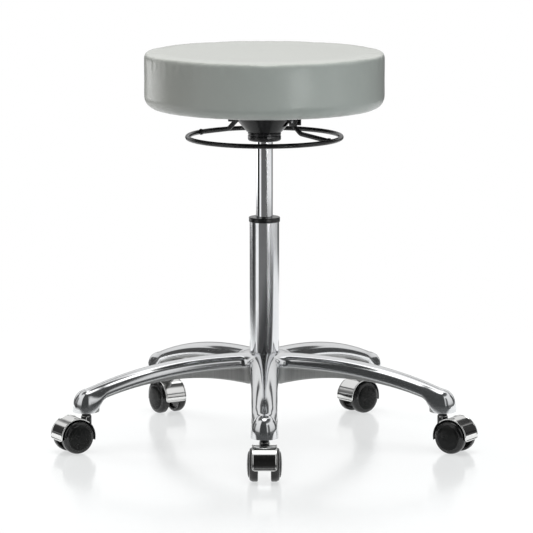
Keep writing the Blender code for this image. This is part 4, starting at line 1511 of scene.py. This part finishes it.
@dataclass
class Cushion:
    """Padded vinyl cushion: turned, swollen by a cloth run, puckered where the cover is pulled under."""

    radius: float = 0.203
    top: float = 0.6662
    thick: float = 0.0962
    crown: float = 0.0003
    top_edge: float = 0.0050
    low_edge: float = 0.021
    lip_r: float = 0.1771
    lip_z: float = 0.5842
    voxel: float = 0.0045
    cap: float = 0.005
    pleat: float = 0.0009
    gather: float = 0.0006
    give: float = 0.30
    frames: int = 20

    def profile(self) -> List[Pair]:
        """Section of the cushion, a little smaller than it ends up.

        Returns:
            Points from the middle of the top to the middle of the board's face.
        """
        low = self.top - self.thick
        r, t = self.radius - 0.0006, self.top - 0.0006
        out = [(0.0, t)]
        rim = r - self.top_edge
        for share in (0.15, 0.3, 0.45, 0.6, 0.75, 0.88):
            out.append((rim * share, t - self.crown * share ** 2.2))
        high = t - self.crown
        out += arc((rim, high - self.top_edge), self.top_edge, 90, 0, 10)
        low_z = low + self.low_edge
        for share in (0.2, 0.4, 0.6, 0.8):
            z = high - self.top_edge + (low_z - high + self.top_edge) * share
            out.append((r - 0.0006 * math.sin(math.pi * share), z))
        out += arc((r - self.low_edge, low_z), self.low_edge, 0, -90, 10)
        out += [(self.lip_r + 0.004, low), (self.lip_r, low), (self.lip_r, low + 0.007), (self.lip_r, self.lip_z),
                (0.12, self.lip_z), (0.06, self.lip_z), (0.0, self.lip_z)]
        return out

    def held(self, p: Vector) -> bool:
        """Whether the board or the staples hold a point."""
        r = math.hypot(p.x, p.y)
        return (r < self.lip_r + 0.003 and p.z < self.lip_z + 0.002) or p.z < self.top - self.thick + 0.0015

    def swell(self, thing: Thing) -> None:
        """Remesh the turned cushion evenly, let pressure fill it and cap how far a point moved."""
        Bench.pick(thing)
        thing.data.remesh_voxel_size = self.voxel
        thing.data.remesh_voxel_adaptivity = 0.0
        bpy.ops.object.voxel_remesh()
        Bench.modify(thing, "SMOOTH", factor=0.5, iterations=2)
        start = [v.co.copy() for v in thing.data.vertices]
        group = thing.vertex_groups.new(name="held")
        group.add([v.index for v in thing.data.vertices if self.held(v.co)], 1.0, "REPLACE")
        Bench.pick(thing)
        bpy.ops.object.modifier_add(type="CLOTH")
        cloth = thing.modifiers[-1]
        stuff = {"quality": 5, "mass": 0.3, "tension_stiffness": 40.0, "compression_stiffness": 40.0,
                 "shear_stiffness": 20.0, "bending_stiffness": 10.0, "use_pressure": True,
                 "uniform_pressure_force": 4.0, "vertex_group_mass": "held"}
        for key, setting in stuff.items():
            setattr(cloth.settings, key, setting)
        cloth.settings.effector_weights.gravity = 0.0
        scene = bpy.context.scene
        for number in range(1, self.frames + 1):
            scene.frame_set(number)
        Bench.pick(thing)
        bpy.ops.object.modifier_apply(modifier=cloth.name)
        scene.frame_set(1)
        thing.vertex_groups.clear()
        for vert, before in zip(thing.data.vertices, start):
            move = vert.co - before
            if move.length > self.cap:
                move *= self.cap / move.length
            vert.co = before + move * self.give
        Bench.modify(thing, "SMOOTH", factor=0.5, iterations=3)

    def fit(self, thing: Thing) -> None:
        """Bring the swollen cushion back to the seat's own radius and height."""
        low = self.top - self.thick
        reach = max(math.hypot(v.co.x, v.co.y) for v in thing.data.vertices)
        tall = max(v.co.z for v in thing.data.vertices)
        wide = self.radius / reach
        high = (self.top - self.lip_z) / (tall - self.lip_z)
        for vert in thing.data.vertices:
            p = vert.co
            r = math.hypot(p.x, p.y)
            free = smoothstep(self.lip_r + 0.002, self.lip_r + 0.02, r) if p.z < self.lip_z + 0.004 else 1.0
            scale = 1.0 + (wide - 1.0) * free
            p.x *= scale
            p.y *= scale
            if p.z > self.lip_z + 0.002:
                p.z = self.lip_z + (p.z - self.lip_z) * high
            elif p.z < low:
                p.z = low

    def pucker(self, thing: Thing) -> None:
        """Draw the fitted cushion's pleats: short ones under the edge, a few faint ones over the top edge."""
        low = self.top - self.thick
        pleats = ((224.0, 1.0), (203.0, 0.7), (188.0, 0.6), (251.0, 0.5), (291.0, 0.45), (332.0, 0.6), (20.0, 0.7),
                  (57.0, 0.6), (96.0, 0.8), (138.0, 0.6), (160.0, 0.5))
        waves = ((31, 0.7, 0.45), (47, 2.1, 0.35), (19, 4.0, 0.4))
        for vert in thing.data.vertices:
            p = vert.co
            r = math.hypot(p.x, p.y)
            if r < self.lip_r + 0.004:
                continue
            turn = math.atan2(p.y, p.x)
            wave = sum(math.sin(turn * count + phase) * tall for count, phase, tall in waves)
            under = 1.0 - smoothstep(low, low + 0.020, p.z)
            edge = smoothstep(self.top - 0.030, self.top - 0.008, p.z)
            edge *= smoothstep(self.radius - 0.022, self.radius - 0.006, r)
            crease = 0.0
            for place, depth in pleats:
                off = (math.degrees(turn) - place + 180.0) % 360.0 - 180.0
                crease += depth * (math.exp(-(off / 1.5) ** 2) - 0.45 * math.exp(-((off - 3.0) / 1.7) ** 2))
            push = (wave * under - crease * edge) * self.pleat
            out = Vector((p.x, p.y, 0.0)).normalized()
            rise = abs(wave) * self.gather * under * smoothstep(self.lip_r, self.radius, r)
            vert.co = p + out * push + Vector((0, 0, rise))

    def build(self) -> None:
        """Make, swell, fit and finish the cushion."""
        made = Bench.lathe("seat_pad", self.profile(), 128)
        self.swell(made)
        self.fit(made)
        Bench.modify(made, "SUBSURF", levels=1, render_levels=1)
        self.pucker(made)
        Bench.smooth(made, 60.0)
        paint(made, SEAT_VINYL)
        hand_over(made, "seat", "vinyl", "seat_cushion")


# ---------------------------------------------------------------- studio
@dataclass
class Studio:
    """Camera, white floor, plain soft lamps and the surroundings that the metal mirrors."""

    eye: Triple = (0.0, -6.1374, 1.277)
    pitch: float = 0.1581
    lens: float = 246.8
    shift: float = 0.00387
    ambient: float = 0.13
    floor_r: float = 1.25
    floor_full: float = 2.375
    sheet_z: float = 0.0006
    sheet_thick: float = 0.0002
    haze: float = 0.70
    crossed: float = 1.5
    lowest: float = -30.0
    highest: float = 90.0

    def camera(self) -> None:
        """Set the camera at the photograph's viewing angle."""
        Bench.clear()
        bpy.ops.object.camera_add(location=self.eye, rotation=(math.pi / 2 - self.pitch, 0.0, 0.0))
        made = bpy.context.object
        made.data.sensor_width = 36.0
        made.data.lens = self.lens
        made.data.shift_x = self.shift
        made.data.clip_end = 200.0
        bpy.context.scene.camera = made

    def floor(self) -> None:
        """Lay the pale glossy floor, fading into the white surroundings, with a painted dark reflection patch in
        front of the stool that only mirrored rays see.
        """
        Bench.clear()
        bpy.ops.mesh.primitive_circle_add(vertices=96, radius=self.floor_full, fill_type="NGON")
        made = Bench.named("studio_floor")
        mat, graph = Graph.material("floor_white")
        graph.tree.nodes.clear()
        x, y, _ = graph.split(graph.place())
        eye, gloss, passed = graph.rays()
        seen = graph.maths("MAXIMUM", eye, graph.maths("MAXIMUM", gloss, passed))
        paper = graph.node("ShaderNodeBsdfPrincipled", None,
                           {"Base Color": (0.36, 0.365, 0.365, 1.0), "Roughness": 0.14})
        glow = graph.node("ShaderNodeEmission", None, {"Color": (0.99, 1.0, 1.0, 1), "Strength": seen * 0.60})
        both = graph.node("ShaderNodeAddShader", None, {0: paper, 1: glow})
        # Painted dark reflection: mirrored rays that reach the floor in front of the stool see this near-black glow
        # in place of the white floor, so the metal shows dark bands there.
        shade = graph.node("ShaderNodeEmission", None, {"Color": (0.03, 0.03, 0.031, 1)})
        near = graph.node("ShaderNodeMixShader", None,
                          {0: (y * -1.0).ease(0.40, 0.52) * gloss * 0.97, 1: both, 2: shade})
        clear = graph.node("ShaderNodeBsdfTransparent")
        plain = span(x, y).ease(self.floor_r * 0.45, self.floor_r) * (1.0 - gloss)
        wide = span(x - 0.5, y).ease(1.25, 1.85) * gloss
        fade = graph.node("ShaderNodeMixShader", None, {0: plain + wide, 1: near, 2: clear})
        back = graph.out("ShaderNodeNewGeometry", "Backfacing")
        under = graph.node("ShaderNodeMixShader", None, {0: back, 1: fade, 2: clear})
        graph.node("ShaderNodeOutputMaterial", None, {0: under})
        made.data.materials.append(mat)

    def sheet(self) -> None:
        """Lay a clear sheet on the floor, which tells the world's shader that a ray was mirrored by the floor."""
        Bench.clear()
        bpy.ops.mesh.primitive_cylinder_add(vertices=96, radius=self.floor_full, depth=self.sheet_thick,
                                            location=(0, 0, self.sheet_z))
        made = Bench.named("studio_sheet")
        mat, graph = Graph.material("floor_clear")
        graph.tree.nodes.clear()
        graph.node("ShaderNodeOutputMaterial", None, {0: graph.node("ShaderNodeBsdfTransparent")})
        made.data.materials.append(mat)
        made.visible_camera = False

    def mirrored(self, graph: Graph) -> Value:
        """What polished metal mirrors: bright walls, a dark front, dark gaps, soft boxes and the white floor.

        Args:
            graph: The world's node tree.

        Returns:
            Brightness for a direction.
        """
        x, y, z = graph.split(graph.out("ShaderNodeTexCoord", "Generated"))
        deg = math.radians(1.0)
        turn = graph.maths("ARCTAN2", x, y * -1.0) / deg
        high = graph.maths("ARCSINE", z) / deg
        side = graph.maths("ABSOLUTE", turn)
        wall = self.ramp(graph, high, ((-30, 0.95), (-17, 0.90), (-12, 0.35), (-8, 0.10), (2, 0.10), (6, 0.65),
                                       (18, 0.85), (24, 0.85), (34, 0.90), (48, 0.90), (55, 0.14), (63, 0.05),
                                       (74, 0.04), (80, 2.0), (90, 3.5)))
        dusk = self.ramp(graph, high, ((-30, 0.95), (-16, 0.55), (-11, 0.24), (-7.5, 0.14), (-5, 0.04), (4, 0.02),
                                       (40, 0.012), (69, 0.02), (75, 1.10), (80, 2.0), (90, 3.5)))
        front = turn.band(-41.0, 22.0, 3.0)
        room = wall * (1.0 - front) + dusk * front
        gaps = ((side.band(107.0, 132.0, 2.0) * high.band(3.5, 33.0, 1.5), 0.95),
                (side.band(125.0, 168.0, 4.0) * high.band(28.5, 35.5, 1.0), 0.95),
                (turn.band(30.0, 50.0, 2.0) * high.band(-13.0, 40.0, 4.0), 0.86),
                (turn.band(-104.0, -84.0, 4.0) * high.band(-12.0, 30.0, 4.0), 0.80),
                (side.band(108.0, 118.0, 3.0) * high.band(-6.0, 8.0, 2.0), 0.6))
        boxes = ((turn.band(22.0, 45.0, 3.0) * high.band(-6.7, -4.7, 0.1), 14.0),
                 (turn.band(45.0, 84.0, 6.0) * high.band(-6.7, -4.7, 0.1), 3.0),
                 (turn.band(-152.0, -112.0, 5.0) * high.band(-8.0, -4.9, 0.4), 2.4),
                 (turn.band(-72.0, -46.0, 2.0) * high.band(-14.0, -6.95, 0.2), 1.15),
                 (turn.band(-86.0, -44.0, 5.0) * high.band(42.0, 66.0, 5.0), 0.95),
                 (turn.band(56.0, 124.0, 4.0) * high.band(-13.0, -6.2, 0.8), 0.46),
                 (turn.band(38.0, 116.0, 4.0) * high.band(-8.2, -6.95, 0.2), 1.0),
                 (side.ease(126.0, 136.0) * (1.0 - turn.band(-158.0, -90.0, 8.0)) * high.band(52.0, 76.0, 5.0), 1.7))
        for mask, power in gaps:
            room = room * (1.0 - mask * power)
        for mask, power in boxes:
            room = graph.maths("MAXIMUM", room, mask * power)
        through = graph.out("ShaderNodeLightPath", "Transparent Depth")
        lifted = graph.maths("GREATER_THAN", through, self.crossed) * graph.maths("GREATER_THAN", z, 0.0)
        return room * (1.0 - lifted) + lifted * self.haze

    def ramp(self, graph: Graph, high: Value, stops: Sequence[Pair]) -> Value:
        """Brightness by elevation, from stops in degrees."""
        whole = self.highest - self.lowest
        even = [((place - self.lowest) / whole, grey) for place, grey in stops]
        return graph.out("ShaderNodeValToRGB", 0, {"stops": even}, {0: (high - self.lowest) / whole})

    def world(self) -> None:
        """White for the camera, the mirrored room for gloss, a plain level for the rest."""
        world = bpy.data.worlds.new("studio_room")
        bpy.context.scene.world = world
        world.use_nodes = True
        graph = Graph(world.node_tree)
        graph.tree.nodes.clear()
        seen, mirror, passed = graph.rays()
        gloss = graph.maths("MAXIMUM", mirror, passed)
        room = self.mirrored(graph) * gloss + (1.0 - gloss) * self.ambient
        shade = graph.node("ShaderNodeBackground", None,
                           {"Color": (1, 1, 1, 1), "Strength": seen + room * (1.0 - seen)})
        graph.node("ShaderNodeOutputWorld", None, {0: shade})
        world.cycles.sampling_method = "NONE"

    def lamp(self, name: str, at: Triple, aim: Triple, size: Pair, power: float,
             hue: Triple = (1.0, 1.0, 1.0)) -> None:
        """Hang one soft lamp.

        Args:
            name: Name of the lamp.
            at: Its place.
            aim: Point that it looks at.
            size: Width and height.
            power: Power in watts.
            hue: Colour of the light.
        """
        Bench.clear()
        bpy.ops.object.light_add(type="AREA", location=at)
        made = bpy.context.object
        made.name = name
        made.data.shape = "RECTANGLE"
        made.data.size, made.data.size_y = size
        made.data.energy = power
        made.data.color = hue
        look = (Vector(aim) - Vector(at)).to_track_quat("-Z", "Y")
        made.rotation_euler = look.to_euler()
        made.visible_camera = False
        made.visible_glossy = False

    def build(self) -> None:
        """Set up the whole studio."""
        scene = bpy.context.scene
        scene.view_settings.view_transform = "Standard"
        self.camera()
        self.floor()
        self.sheet()
        self.world()
        self.lamp("lamp_top", (0.0, 0.1, 3.2), (0.0, 0.0, 0.5), (2.4, 2.4), 72.0)
        self.lamp("lamp_left", (-2.3, 1.5, 0.9), (0.0, 0.0, 0.5), (1.0, 1.0), 26.0)
        self.lamp("lamp_fill", (-2.7, -1.1, 0.30), (0.0, 0.0, 0.5), (0.9, 0.9), 6.0)
        self.lamp("lamp_right", (1.7, -2.4, 0.45), (0.0, 0.0, 0.55), (0.9, 0.9), 24.0, hue=(0.86, 0.97, 1.0))


def main() -> None:
    """Build the studio and every sub-assembly in order."""
    logging.basicConfig(level=logging.INFO, format="%(message)s")
    Bench.clear()
    Studio().build()
    BaseCasting().build()
    Casters().build()
    GasLift().build()
    SeatMount().build()
    RingLever().build()
    SeatUnderside().build()
    Cushion().build()


if __name__ == "__main__":
    main()
